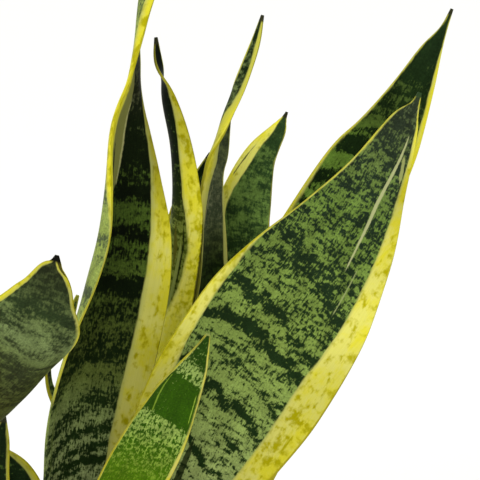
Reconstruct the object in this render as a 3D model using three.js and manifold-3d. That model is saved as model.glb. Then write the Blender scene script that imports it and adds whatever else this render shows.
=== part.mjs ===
// A potted snake plant with yellow leaf margins: sword leaves on a rhizome, in soil, in a clay pot.
// Millimetres, +Z up, the front towards -Y. The origin is the centre of the pot's base.

import * as THREE from 'three';
import { mergeVertices } from 'three/addons/utils/BufferGeometryUtils.js';
import Module from 'manifold-3d';

const wasm = await Module();
wasm.setup();

// Clearance between pieces that touch, and round a leaf base in its socket
const gap = 0.3;
const socketGap = 0.4;

// Pot: a tapered wall with a thick rim band, and drain holes round a solid centre
const potHeight = 135;
const potRimRadius = 76;
const potShoulderRadius = 69;
const potBaseRadius = 52;
const potBandHeight = 27;
const potLipThickness = 8;
const potLipRounding = 3;
const lipSteps = 4;
const potChamfer = 2;
const potWall = 6;
const potFloor = 9;
const potFillet = 5;
const potSides = 44;
const drainHoleCount = 3;
const drainHoleRadius = 6;
const drainHoleSides = 16;
const drainCircleRadius = 26;

// Soil: a lumpy surface, a little lower at the pot's wall
const soilLevel = 122;
const soilEdgeDrop = 4;
const soilLumpHeight = 1.2;
const soilRings = 6;

// Rhizome: a flat-topped crown under each rosette, joined underground, with roots that hang from it
const leafRootLevel = 100;
const crownTop = leafRootLevel - gap;
const crownHeight = 20;
const crownRounding = 1.5;
const crownTaper = 0.6;
const crownSides = 14;
const crowns = [
  { x: -16, y: 2, radius: 27, roots: 3 },
  { x: 16, y: 34, radius: 20, roots: 3 },
  { x: -37, y: -22, radius: 15, roots: 2 },
  { x: -45, y: 8, radius: 12, roots: 0 },
  { x: -17, y: 40, radius: 14, roots: 0 },
  { x: 20, y: -36, radius: 11, roots: 0 },
];
const stolonRadius = 7;
const stolonSides = 6;
const stolonSag = 4;
const stemSteps = 4;
const rootSides = 5;
const rootRadius = 2.4;
const rootTipRadius = 1;
const rootSpread = 12;
const rootDepth = 32;

// Blades: where the points lie across a leaf, the rings from one row to the next, and the thickness
const stationsAcross = [-1, -0.9, -0.5, 0, 0.5, 0.9, 1];
const ringsPerRow = 3;
const baseThickness = 5;
const middleThickness = 2.6;
const tipThickness = 1;
const marginThickness = 1.2;
const thinningEnd = 0.4;
const straightCurl = 0.001;

// Ripples in the margins fade where the blade is narrow and towards its base, and differ left and right
const fullWaveWidth = 30;
const calmBase = 60;
const marginOffset = 2;

// Leaves. A row is the midrib's x, y, z, the width round the curve, the way the inner face looks (0 towards
// the front, 90 towards +X), and how far the left and the right half curl towards the inner face, in degrees.
// The wave is the height, length and start of the ripple in the margins.
const leaves = {
  leaf_tall_left: {
    wave: [1, 75, 0.5],
    rows: [
      [-31, 4, 100, 26, 10, 45, 45],
      [-27, 2, 152, 42, 8, 65, 30],
      [-17, 0, 204, 51, 6, 80, 15],
      [-8, -4, 255, 54, 6, 78, 12],
      [0, -5, 298, 56, 6, 130, 10],
      [4.5, -4, 325, 50, 6, 145, 10],
      [6.5, -2, 350, 37, 8, 130, 5],
      [7, 2, 376, 26, 18, 110, -20],
      [11, 5, 394, 20, 52, 50, -40],
      [12.2, 6, 408, 16, 78, 40, 10],
      [14.9, 8, 428, 14, 112, 40, 40],
      [19.5, 9, 446, 12, 135, 25, 25],
      [23, 10, 466, 2.5, 140, 5, 5],
    ],
  },
  leaf_broad_right: {
    wave: [1.5, 80, 1.5],
    rows: [
      [1, 4, 100, 24, 0, 40, 40],
      [19, 0, 162, 48, 0, 32, 32],
      [51.7, -8, 234, 81.5, 0, 22, 22],
      [73.5, -10, 270, 83, 0, 18, 18],
      [92.3, -8, 297, 75, 0, 15, 15],
      [112, 0, 323.5, 54.4, 0, 12, 12],
      [126.4, 6, 347.5, 33, 0, 10, 10],
      [136.2, 10, 367.5, 20.6, 0, 10, 10],
      [141, 12, 377, 14, 0, 5, 5],
      [145.5, 14, 384, 5, 0, 0, 0],
      [148, 15, 390, 1.8, 0, 0, 0],
    ],
  },
  leaf_back_right: {
    wave: [1.2, 70, 0],
    rows: [
      [32, 22, 100, 20, 0, 45, 45],
      [46, 23, 165, 40, 0, 35, 35],
      [74, 30, 236, 54, 0, 25, 25],
      [97.5, 40, 294, 54.5, 0, 18, 18],
      [122.5, 47, 339.3, 45.2, 0, 14, 14],
      [135.5, 50, 360, 35.6, 0, 12, 12],
      [148.6, 54, 384.2, 21.5, 0, 10, 10],
      [157.3, 58, 402.4, 11.6, 0, 8, 8],
      [163.7, 60, 414, 4, 0, 5, 5],
      [168, 62, 424, 1.4, 0, 0, 0],
    ],
  },
  leaf_centre_rolled: {
    wave: [0.6, 60, 0],
    rows: [
      [0, 22, 100, 18, 150, 60, 60],
      [8, 22, 188, 24, 150, 60, 60],
      [18, 21, 243, 26, 148, 60, 60],
      [27, 20, 285, 26, 146, 55, 60],
      [33, 18, 326, 23, 145, 45, 60],
      [32.2, 18, 361, 16, 140, 30, 50],
      [27, 18, 388, 10.5, 130, 10, 20],
      [23, 18, 404, 5.6, 60, 5, 5],
      [22, 18, 416, 1.2, 40, 0, 0],
    ],
  },
  leaf_centre_twisted: {
    wave: [1, 65, 1],
    rows: [
      [20, 36, 100, 18, 10, 50, 50],
      [29, 35, 181, 24, 20, 50, 50],
      [41, 32, 248, 24, 25, 55, 45],
      [46.1, 30, 297, 19.8, 30, 60, 40],
      [46.6, 30, 333, 16, 35, 50, 20],
      [47.6, 30.5, 347, 14.5, 42, 45, 20],
      [50, 31, 358, 16.5, 55, 40, 30],
      [54.4, 32, 376, 13, 92, 75, 75],
      [62.6, 34, 393, 8, 135, 25, 25],
      [69.2, 36, 410, 5, 150, 0, 0],
      [73, 38, 424, 1.2, 150, 0, 0],
    ],
  },
  leaf_centre_back: {
    wave: [1, 60, 2],
    rows: [
      [26, 46, 100, 18, 0, 50, 50],
      [34, 50, 150, 26, 0, 40, 40],
      [46, 55, 195, 36, 0, 35, 35],
      [57, 57, 246, 38, -10, 30, 30],
      [64, 58, 295, 30, -15, 25, 25],
      [64, 60, 321, 29, -10, 20, 20],
      [70.5, 62, 345, 18.6, 0, 20, 20],
      [80.9, 64, 361, 9, 0, 15, 15],
      [83.6, 65, 366, 4.6, 0, 5, 5],
      [84.7, 65.5, 368.3, 2.4, 0, 0, 0],
      [86, 66, 371, 1.2, 0, 0, 0],
    ],
  },
  leaf_centre_sliver: {
    wave: [1, 65, 0],
    rows: [
      [4, 46, 100, 18, 0, 45, 45],
      [8, 46, 150, 22, 0, 35, 35],
      [17, 47, 200, 27, 0, 30, 30],
      [27, 48, 250, 32, 0, 30, 30],
      [33, 48, 290, 30, 0, 25, 25],
      [37, 47, 323, 21, 0, 20, 20],
      [43, 46, 340, 11, 0, 10, 10],
      [47, 46, 354, 1.2, 0, 0, 0],
    ],
  },
  leaf_young: {
    wave: [0.5, 50, 0],
    rows: [
      [-14, -14, 100, 20, 10, 50, 50],
      [-7, -20, 158, 30, 10, 30, 30],
      [5, -28, 199, 33, 10, 25, 25],
      [20, -34, 230, 31, 10, 20, 20],
      [31, -38, 254, 24, 10, 20, 20],
      [39.5, -42, 270, 15, 10, 20, 20],
      [44.5, -45, 281, 7, 10, 10, 10],
      [47.5, -47, 289, 1.8, 10, 0, 0],
    ],
  },
  leaf_near_left: {
    wave: [1.5, 70, 0],
    rows: [
      [-34, -36, 100, 20, 10, 45, 45],
      [-41, -39, 142, 26, 10, 35, 35],
      [-62, -50, 180, 38, 10, 30, 10],
      [-80, -68, 215, 48, 5, 25, -40],
      [-76, -86, 250, 54, 0, 25, -80],
      [-56, -101, 278, 54, 0, 20, -78],
      [-38.8, -110, 296.4, 52, 0, 15, -70],
      [-24.8, -120, 314.5, 43, 0, 10, -46],
      [-16.8, -128, 332.3, 25.4, 0, 5, 0],
      [-13.6, -131, 343, 12.6, 0, 0, 0],
      [-11.8, -132, 347, 5, 0, 0, 0],
      [-11, -132, 350, 1.6, 0, 0, 0],
    ],
  },
  leaf_low_left_outer: {
    wave: [1, 60, 0],
    rows: [
      [-47, -23, 100, 18, 20, 45, 45],
      [-50, -27, 142, 22, 20, 35, 35],
      [-58, -38, 180, 26, 20, 30, 30],
      [-57, -46, 215, 22, 20, 25, 25],
      [-50, -52, 238, 11, 20, 10, 10],
      [-46, -55, 252, 1.4, 20, 0, 0],
    ],
  },
  leaf_low_left: {
    wave: [1, 60, 1],
    rows: [
      [-44, -7, 100, 18, 0, 45, 45],
      [-44, -13, 145, 26, 0, 35, 35],
      [-46, -19, 182, 34, 0, 30, 30],
      [-49, -22, 206, 30, 0, 25, 25],
      [-56, -24, 222, 10, 0, 10, 10],
      [-59, -25, 229, 1.4, 0, 0, 0],
    ],
  },
  leaf_left_sliver: {
    wave: [1, 50, 0],
    rows: [
      [-32, 22, 100, 16, 0, 45, 45],
      [-22, 23, 150, 18, 10, 35, 35],
      [-21, 23, 192, 15, 40, 30, 30],
      [-27, 21, 215, 12, 60, 20, 20],
      [-30.6, 20, 229, 9, 75, 15, 15],
      [-34.4, 19, 241, 8, 85, 10, 10],
      [-33.5, 17, 256, 8, 75, 10, 10],
      [-24.5, 15, 272, 6, 40, 5, 5],
      [-18, 14, 289, 1.4, 20, 0, 0],
    ],
  },
  leaf_rear: {
    wave: [1.2, 70, 2],
    rows: [
      [-17, 46, 100, 18, 0, 45, 45],
      [-16, 55, 150, 30, 0, 35, 35],
      [-10, 62, 200, 37, 0, 30, 30],
      [-3, 66, 245, 32, 0, 20, 20],
      [2, 67, 280, 18, 0, 15, 15],
      [5, 67, 304, 1.4, 0, 0, 0],
    ],
  },
  leaf_far_left: {
    wave: [1.2, 70, 1],
    rows: [
      [-53, 10, 100, 20, 110, 45, 45],
      [-56, 10, 142, 28, 110, 35, 35],
      [-72, 12, 180, 42, 105, 25, 25],
      [-92, 14, 225, 46, 100, 20, 20],
      [-106, 14, 265, 32, 95, 15, 15],
      [-114, 12, 295, 14, 95, 10, 10],
      [-118, 10, 312, 1.4, 95, 0, 0],
    ],
  },
  leaf_pup: {
    wave: [0.4, 40, 0],
    rows: [
      [20, -36, 100, 16, 0, 70, 70],
      [21, -38, 130, 20, 0, 60, 60],
      [24, -40, 155, 16, 0, 45, 45],
      [27, -41, 175, 8, 0, 20, 20],
      [29, -41, 188, 1.8, 0, 0, 0],
    ],
  },
};

const leafColor = 0x2f5a2a;
const youngLeafColor = 0x3f7a1c;
const potColor = 0xb5694a;
const soilColor = 0x3a2a20;
const rhizomeColor = 0xc9a874;

// A closed mesh as a solid to cut and join, and back
function solid(geometry) {
  const bare = geometry.clone();
  bare.deleteAttribute('normal');
  bare.deleteAttribute('uv');
  const merged = mergeVertices(bare, 1e-4);
  return new wasm.Manifold(new wasm.Mesh({
    numProp: 3,
    vertProperties: merged.attributes.position.array,
    triVerts: new Uint32Array(merged.index.array),
  }));
}

function geometryOf(shape) {
  const mesh = shape.getMesh();
  const geometry = new THREE.BufferGeometry();
  geometry.setAttribute('position', new THREE.BufferAttribute(mesh.vertProperties, 3));
  geometry.setIndex(new THREE.BufferAttribute(mesh.triVerts, 1));
  geometry.computeVertexNormals();
  return geometry;
}

function turned(profile, sides) {
  const points = profile.map(([radius, height]) => new THREE.Vector2(radius, height));
  return new THREE.LatheGeometry(points, sides).rotateX(Math.PI / 2);
}

function meshOf(points, index) {
  const geometry = new THREE.BufferGeometry().setFromPoints(points);
  geometry.setIndex(index);
  geometry.computeVertexNormals();
  return geometry;
}

// A leaf's cross-section, as the points of its inner face and then of its outer face. Each half is an arc
// that curls away from the midrib, and the blade is thick at the midrib and thin at the margins.
function crossSection({ centre, side, inward, halfWidth, curls, thickness, ripples, clearance }) {
  const innerFace = [];
  const outerFace = [];
  for (const station of stationsAcross) {
    const half = station < 0 ? 0 : 1;
    const direction = Math.sign(station);
    const reach = Math.abs(station);
    const curl = Math.abs(curls[half]) < straightCurl ? straightCurl : curls[half];
    const angle = curl * reach;
    const normal = inward.clone().multiplyScalar(Math.cos(angle));
    normal.addScaledVector(side, -direction * Math.sin(angle));
    const swell = (1 - station ** 2) ** 0.7;
    const halfThickness = THREE.MathUtils.lerp(marginThickness, thickness, swell) / 2 + clearance;
    const point = centre.clone()
      .addScaledVector(side, direction * halfWidth * Math.sin(angle) / curl)
      .addScaledVector(inward, halfWidth * (1 - Math.cos(angle)) / curl)
      .addScaledVector(normal, ripples[half] * reach ** 3);
    innerFace.push(point.clone().addScaledVector(normal, halfThickness));
    outerFace.push(point.clone().addScaledVector(normal, -halfThickness));
  }
  return [...innerFace, ...outerFace];
}

// The triangles of a blade. Both faces are split along the same diagonals, so they never cross.
function bladeIndex(rings) {
  const across = stationsAcross.length;
  const last = across - 1;
  const next = across * 2;
  const index = [];
  for (let ring = 0; ring < rings; ring++) {
    const inner = ring * next;
    const outer = inner + across;
    for (let j = 0; j < last; j++) {
      index.push(inner + j, inner + j + 1, inner + next + j + 1);
      index.push(inner + j, inner + next + j + 1, inner + next + j);
      index.push(outer + j, outer + next + j + 1, outer + j + 1);
      index.push(outer + j, outer + next + j, outer + next + j + 1);
    }
    index.push(inner, outer + next, outer, inner, inner + next, outer + next);
    index.push(inner + last, outer + last, outer + next + last);
    index.push(inner + last, outer + next + last, inner + next + last);
  }
  const tip = rings * next;
  for (let j = 0; j < last; j++) {
    index.push(j, across + j, across + j + 1, j, across + j + 1, j + 1);
    index.push(tip + j, tip + j + 1, tip + across + j + 1, tip + j, tip + across + j + 1, tip + across + j);
  }
  return index;
}

// One leaf as a closed blade, or with a clearance the socket that its base stands in
function blade({ rows, wave: [waveHeight, waveLength, waveStart] }, clearance = 0) {
  const curve = (pick) => {
    const points = rows.map((row) => new THREE.Vector3(...pick(row)));
    return new THREE.CatmullRomCurve3(points, false, 'catmullrom', 0.5);
  };
  const midrib = curve(([x, y, z]) => [x, y, z]);
  const widths = curve(([, , , width, facing]) => [width, THREE.MathUtils.degToRad(facing), 0]);
  const curves = curve(([, , , , , left, right]) => [left, right, 0].map(THREE.MathUtils.degToRad));
  const rings = (rows.length - 1) * ringsPerRow;
  const points = [];
  let along = 0;
  let previous = midrib.getPoint(0);

  for (let ring = 0; ring <= rings; ring++) {
    const t = ring / rings;
    const centre = midrib.getPoint(t);
    const tangent = midrib.getTangent(t);
    const { x: width, y: facing } = widths.getPoint(t);
    const { x: leftCurl, y: rightCurl } = curves.getPoint(t);
    const inward = new THREE.Vector3(Math.sin(facing), -Math.cos(facing), 0);
    inward.addScaledVector(tangent, -inward.dot(tangent)).normalize();
    along += centre.distanceTo(previous);
    previous = centre;

    const ripple = waveHeight * Math.min(1, width / fullWaveWidth, along / calmBase);
    const phase = 2 * Math.PI * along / waveLength + waveStart;
    const section = crossSection({
      centre,
      side: new THREE.Vector3().crossVectors(tangent, inward),
      inward,
      halfWidth: width / 2 + clearance,
      curls: [leftCurl, rightCurl],
      thickness: t < thinningEnd
        ? THREE.MathUtils.mapLinear(t, 0, thinningEnd, baseThickness, middleThickness)
        : THREE.MathUtils.mapLinear(t, thinningEnd, 1, middleThickness, tipThickness),
      ripples: [ripple * Math.sin(phase), ripple * Math.sin(phase + marginOffset)],
      clearance,
    });
    if (ring === 0) {
      section.forEach((point) => point.setZ(leafRootLevel - clearance));
    }
    points.push(...section);
  }
  return meshOf(points, bladeIndex(rings));
}

// The inner face of the pot at a height
function potInnerRadius(height) {
  const low = potBaseRadius - potWall;
  const high = potRimRadius - potLipThickness;
  return THREE.MathUtils.mapLinear(height, potFloor, potHeight, low, high);
}

function makePot() {
  const bandBottom = potHeight - potBandHeight;
  const lipMiddle = potRimRadius - potLipThickness / 2;
  const profile = [
    [0, 0],
    [potBaseRadius - potChamfer, 0],
    [potBaseRadius, potChamfer],
    [potShoulderRadius, bandBottom],
    [potRimRadius - potChamfer, bandBottom],
    [potRimRadius, bandBottom + potChamfer],
  ];
  for (let step = 0; step <= lipSteps; step++) {
    const angle = Math.PI * step / lipSteps;
    profile.push([
      lipMiddle + potLipThickness / 2 * Math.cos(angle),
      potHeight - potLipRounding + potLipRounding * Math.sin(angle),
    ]);
  }
  profile.push([potInnerRadius(potFloor + potFillet), potFloor + potFillet]);
  profile.push([potInnerRadius(potFloor) - potFillet, potFloor]);
  profile.push([0, potFloor]);

  let pot = solid(turned(profile, potSides));
  for (let hole = 0; hole < drainHoleCount; hole++) {
    const angle = 2 * Math.PI * hole / drainHoleCount;
    const drill = new THREE.CylinderGeometry(drainHoleRadius, drainHoleRadius, potFloor * 3, drainHoleSides);
    drill.rotateX(Math.PI / 2);
    drill.translate(drainCircleRadius * Math.cos(angle), drainCircleRadius * Math.sin(angle), 0);
    pot = pot.subtract(solid(drill));
  }
  return geometryOf(pot);
}

// A round stem through points, thicker at its start than at its end
function stem(route, startRadius, endRadius, sides) {
  const path = new THREE.CatmullRomCurve3(route);
  const frames = path.computeFrenetFrames(stemSteps);
  const points = [];
  const index = [];
  for (let step = 0; step <= stemSteps; step++) {
    const radius = THREE.MathUtils.lerp(startRadius, endRadius, step / stemSteps);
    for (let side = 0; side < sides; side++) {
      const angle = 2 * Math.PI * side / sides;
      points.push(path.getPointAt(step / stemSteps)
        .addScaledVector(frames.normals[step], radius * Math.cos(angle))
        .addScaledVector(frames.binormals[step], radius * Math.sin(angle)));
    }
  }
  for (let step = 0; step < stemSteps; step++) {
    for (let side = 0; side < sides; side++) {
      const a = step * sides + side;
      const b = step * sides + (side + 1) % sides;
      index.push(a, b, b + sides, a, b + sides, a + sides);
    }
  }
  const end = stemSteps * sides;
  for (let side = 1; side < sides - 1; side++) {
    index.push(0, side + 1, side, end, end + side, end + side + 1);
  }
  return meshOf(points, index);
}

function makeCrown({ x, y, radius }, clearance) {
  const bottom = crownTop - crownHeight;
  const outer = radius + clearance;
  const crown = turned([
    [0, bottom - clearance],
    [outer * crownTaper, bottom - clearance],
    [outer, crownTop - crownHeight * crownTaper],
    [outer, crownTop - crownRounding],
    [outer - crownRounding, crownTop + clearance],
    [0, crownTop + clearance],
  ], crownSides);
  return solid(crown.translate(x, y, 0));
}

// Roots spread from under a crown and hang towards the pot's floor
function makeRoots({ x, y, radius, roots }, clearance) {
  const top = crownTop - crownHeight / 2;
  const stems = [];
  for (let count = 0; count < roots; count++) {
    const angle = 2 * Math.PI * (count + 0.25) / roots;
    const point = (middle, spread, z) => new THREE.Vector3(
      x * middle + spread * Math.cos(angle), y * middle + spread * Math.sin(angle), z,
    );
    const route = [
      point(1, radius * 0.3, top),
      point(0.9, radius * 0.6, top - crownHeight),
      point(0.6, rootSpread, rootDepth),
    ];
    stems.push(solid(stem(route, rootRadius + clearance, rootTipRadius + clearance, rootSides)));
  }
  return stems;
}

function makeRhizome(clearance = 0) {
  const middle = crownTop - crownHeight / 2;
  const thick = stolonRadius + clearance;
  const [first, ...others] = crowns;
  const pieces = crowns.flatMap((crown) => [makeCrown(crown, clearance), ...makeRoots(crown, clearance)]);
  for (const crown of others) {
    const route = [
      new THREE.Vector3(first.x, first.y, middle),
      new THREE.Vector3((first.x + crown.x) / 2, (first.y + crown.y) / 2, middle - stolonSag),
      new THREE.Vector3(crown.x, crown.y, middle),
    ];
    pieces.push(solid(stem(route, thick, thick, stolonSides)));
  }
  return pieces.reduce((whole, piece) => whole.add(piece));
}

// The soil fills the pot. Its surface is lumpy, and it has a socket for the rhizome and for each leaf base.
function makeSoil() {
  const bottom = potFloor + gap;
  const edgeLevel = soilLevel - soilEdgeDrop;
  const edgeRadius = potInnerRadius(edgeLevel) - gap;
  const profile = [
    [0, bottom],
    [potInnerRadius(potFloor) - potFillet - gap, bottom],
    [potInnerRadius(potFloor + potFillet) - gap, bottom + potFillet],
    [edgeRadius, edgeLevel],
  ];
  for (let ring = soilRings - 1; ring >= 0; ring--) {
    const reach = ring / soilRings;
    profile.push([edgeRadius * reach, soilLevel - soilEdgeDrop * reach ** 4]);
  }
  const earth = turned(profile, potSides);
  const position = earth.attributes.position;
  for (let i = 0; i < position.count; i++) {
    const [x, y, z] = [position.getX(i), position.getY(i), position.getZ(i)];
    const inside = 1 - (Math.hypot(x, y) / edgeRadius) ** 6;
    if (z > edgeLevel && inside > 0) {
      const lumps = Math.sin(0.33 * x + 1) * Math.sin(0.29 * y) + 0.6 * Math.sin(0.13 * x - 0.17 * y);
      position.setZ(i, z + soilLumpHeight * lumps * inside);
    }
  }

  let soil = solid(earth).subtract(makeRhizome(socketGap));
  for (const leaf of Object.values(leaves)) {
    soil = soil.subtract(solid(blade(leaf, socketGap)));
  }
  const pieces = soil.decompose().sort((a, b) => b.volume() - a.volume());
  return geometryOf(pieces[0]);
}

const plant = new THREE.Group();

function place(name, geometry, color, roughness) {
  const material = new THREE.MeshStandardMaterial({ color, roughness, metalness: 0 });
  const mesh = new THREE.Mesh(geometry, material);
  mesh.name = name;
  plant.add(mesh);
}

for (const [name, leaf] of Object.entries(leaves)) {
  place(name, blade(leaf), name === 'leaf_young' ? youngLeafColor : leafColor, 0.4);
}
place('pot', makePot(), potColor, 0.85);
place('soil', makeSoil(), soilColor, 0.95);
place('rhizome', geometryOf(makeRhizome()), rhizomeColor, 0.7);

export default plant;
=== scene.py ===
"""A potted snake plant with yellow leaf margins: its finished pieces, their materials and the studio."""
import math
import random

import bmesh
import bpy
import numpy as np
from mathutils import Matrix, Vector, noise


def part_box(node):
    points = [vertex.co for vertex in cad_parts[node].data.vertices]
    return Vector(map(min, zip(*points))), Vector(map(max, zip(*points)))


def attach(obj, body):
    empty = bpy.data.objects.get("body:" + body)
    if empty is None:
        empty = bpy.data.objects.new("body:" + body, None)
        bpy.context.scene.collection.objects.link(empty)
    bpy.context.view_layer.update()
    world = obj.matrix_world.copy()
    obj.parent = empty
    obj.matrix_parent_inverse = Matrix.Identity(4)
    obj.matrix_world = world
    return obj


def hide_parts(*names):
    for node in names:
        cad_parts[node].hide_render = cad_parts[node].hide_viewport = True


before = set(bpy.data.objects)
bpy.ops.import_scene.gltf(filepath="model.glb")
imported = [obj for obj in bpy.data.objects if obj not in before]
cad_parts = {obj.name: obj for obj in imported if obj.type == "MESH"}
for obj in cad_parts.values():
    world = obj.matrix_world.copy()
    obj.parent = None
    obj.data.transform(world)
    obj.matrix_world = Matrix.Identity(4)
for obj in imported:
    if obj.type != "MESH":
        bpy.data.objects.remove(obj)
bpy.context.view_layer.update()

bl_info = {
    "name": "Potted Snake Plant",
    "version": (1, 0, 0),
    "blender": (4, 5, 0),
    "location": "3D View > Sidebar > Snake Plant",
    "description": "Builds the leaves, the clay pot, the soil and the studio of a potted snake plant",
    "category": "Object",
}

MM = 0.001
BODY = "root"
# points closer than this lie in one place
SAME_PLACE = 0.001 * MM
# where a CAD blade has its points across it, from the left margin to the right
STATIONS = [-1, -0.9, -0.5, 0, 0.5, 0.9, 1]
# points round a blade: its inner face from left to right, then its outer face back
RING = 2 * len(STATIONS)
# what each point of a blade knows, for the patterns of its skin
BLADE_PLACES = [
    "across", "from_left", "from_right", "margin_left", "margin_right", "share", "tip", "drop", "lean",
    "breakup", "yellow", "outer", "margin_light_and_shade",
]
# half a streak's width where it is off
STREAK_OFF = -2
# how sharp a blade's margin stays where its surface is smoothed, from 0 to 1
MARGIN_CREASE = 0.5

# the range that a noise mostly keeps to, a gentle change within a range, and a mix of colours
NOISE_SPAN = {"From Min": 0.3, "From Max": 0.7}
GENTLE = {"interpolation_type": "SMOOTHSTEP"}
COLOURS = {"data_type": "RGBA"}

# what the settings that are colours or lengths have in common
COLOUR = {"subtype": "COLOR", "size": 3, "min": 0, "max": 1}
LENGTH = {"subtype": "DISTANCE", "unit": "LENGTH"}


def linear(colour):
    """An sRGB hex colour as linear red, green and blue."""
    parts = [int(colour[i:i + 2], 16) / 255 for i in (1, 3, 5)]
    return [part / 12.92 if part <= 0.04045 else ((part + 0.055) / 1.055) ** 2.4 for part in parts]


# How each leaf looks, from its root to its tip.
# margins: height in mm, then the width in mm of the yellow margin at the left and at the right. It is
#   below 0 where there is none.
# outer_margins: the same on the outer face of a leaf where it differs.
# margin_lights_and_shades: height in mm, then how bright the left and the right margin are, as painted light
# and shade.
# bands: share of the length, and how light the green is there, from 0 (dark) to 1 (light).
# light, dark: share of the length, and the colour of the light and of the dark green.
# outer_light, outer_dark: the same for the outer face; outer_lift: how much lighter its bands are.
# course: share of the length, then how far the bands drop towards both margins and towards the left, as
#   shares of the length, how broken up the bands are, and how much of the margin is yellow, not cream.
# wander, patches, blotches, specks, teeth: how strongly each pattern breaks up the bands.
# softness: how gently the light green goes over into the dark.
# blotched: how much of the margin is blotched.
# veil: width in mm of the grey-green veil inside the margin; rim: how strong the olive line at its edge is.
# spine: length in mm of the dry tip.
# streaks: a colour, then height in mm, place across (-1 left margin, 1 right) and half the width in mm,
#   which is -2 where the streak is off. Some of them are painted shadow, painted shade or a painted
#   highlight, each marked where it stands.
# streaks_inside: whether they run on the inner face.
LEAF = {
    "margins": [(100, 2.5, 2.5), (200, 2.5, 2.5), (300, 2, 2), (470, 1, 1)],
    "margin_lights_and_shades": [(0, 1, 1)],
    "bands": [(0, 0.5), (1, 0.45)],
    "light": [(0.15, "#8a9658"), (0.45, "#768e45"), (0.8, "#5a7734"), (1, "#3a5426")],
    "dark": [(0.2, "#1c2c12"), (0.9, "#16240f")],
    "outer_light": [(0, "#7b9448")],
    "outer_dark": [(0.2, "#1c2c12"), (0.9, "#16240f")],
    "outer_lift": 0,
    "course": [(0, 0.03, 0, 0.6, 0.4), (0.6, 0.02, 0, 0.8, 0.5), (1, 0.01, 0, 1, 0.9)],
    "wander": 0.1,
    "patches": 1.1,
    "blotches": 1.5,
    "specks": 1,
    "teeth": 0.9,
    "softness": 0.16,
    "blotched": 0.5,
    "veil": 2.6,
    "rim": 0.55,
    "spine": 4,
    "spine_colour": "#33341f",
    "streaks": [],
    "streaks_inside": True,
}
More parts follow.
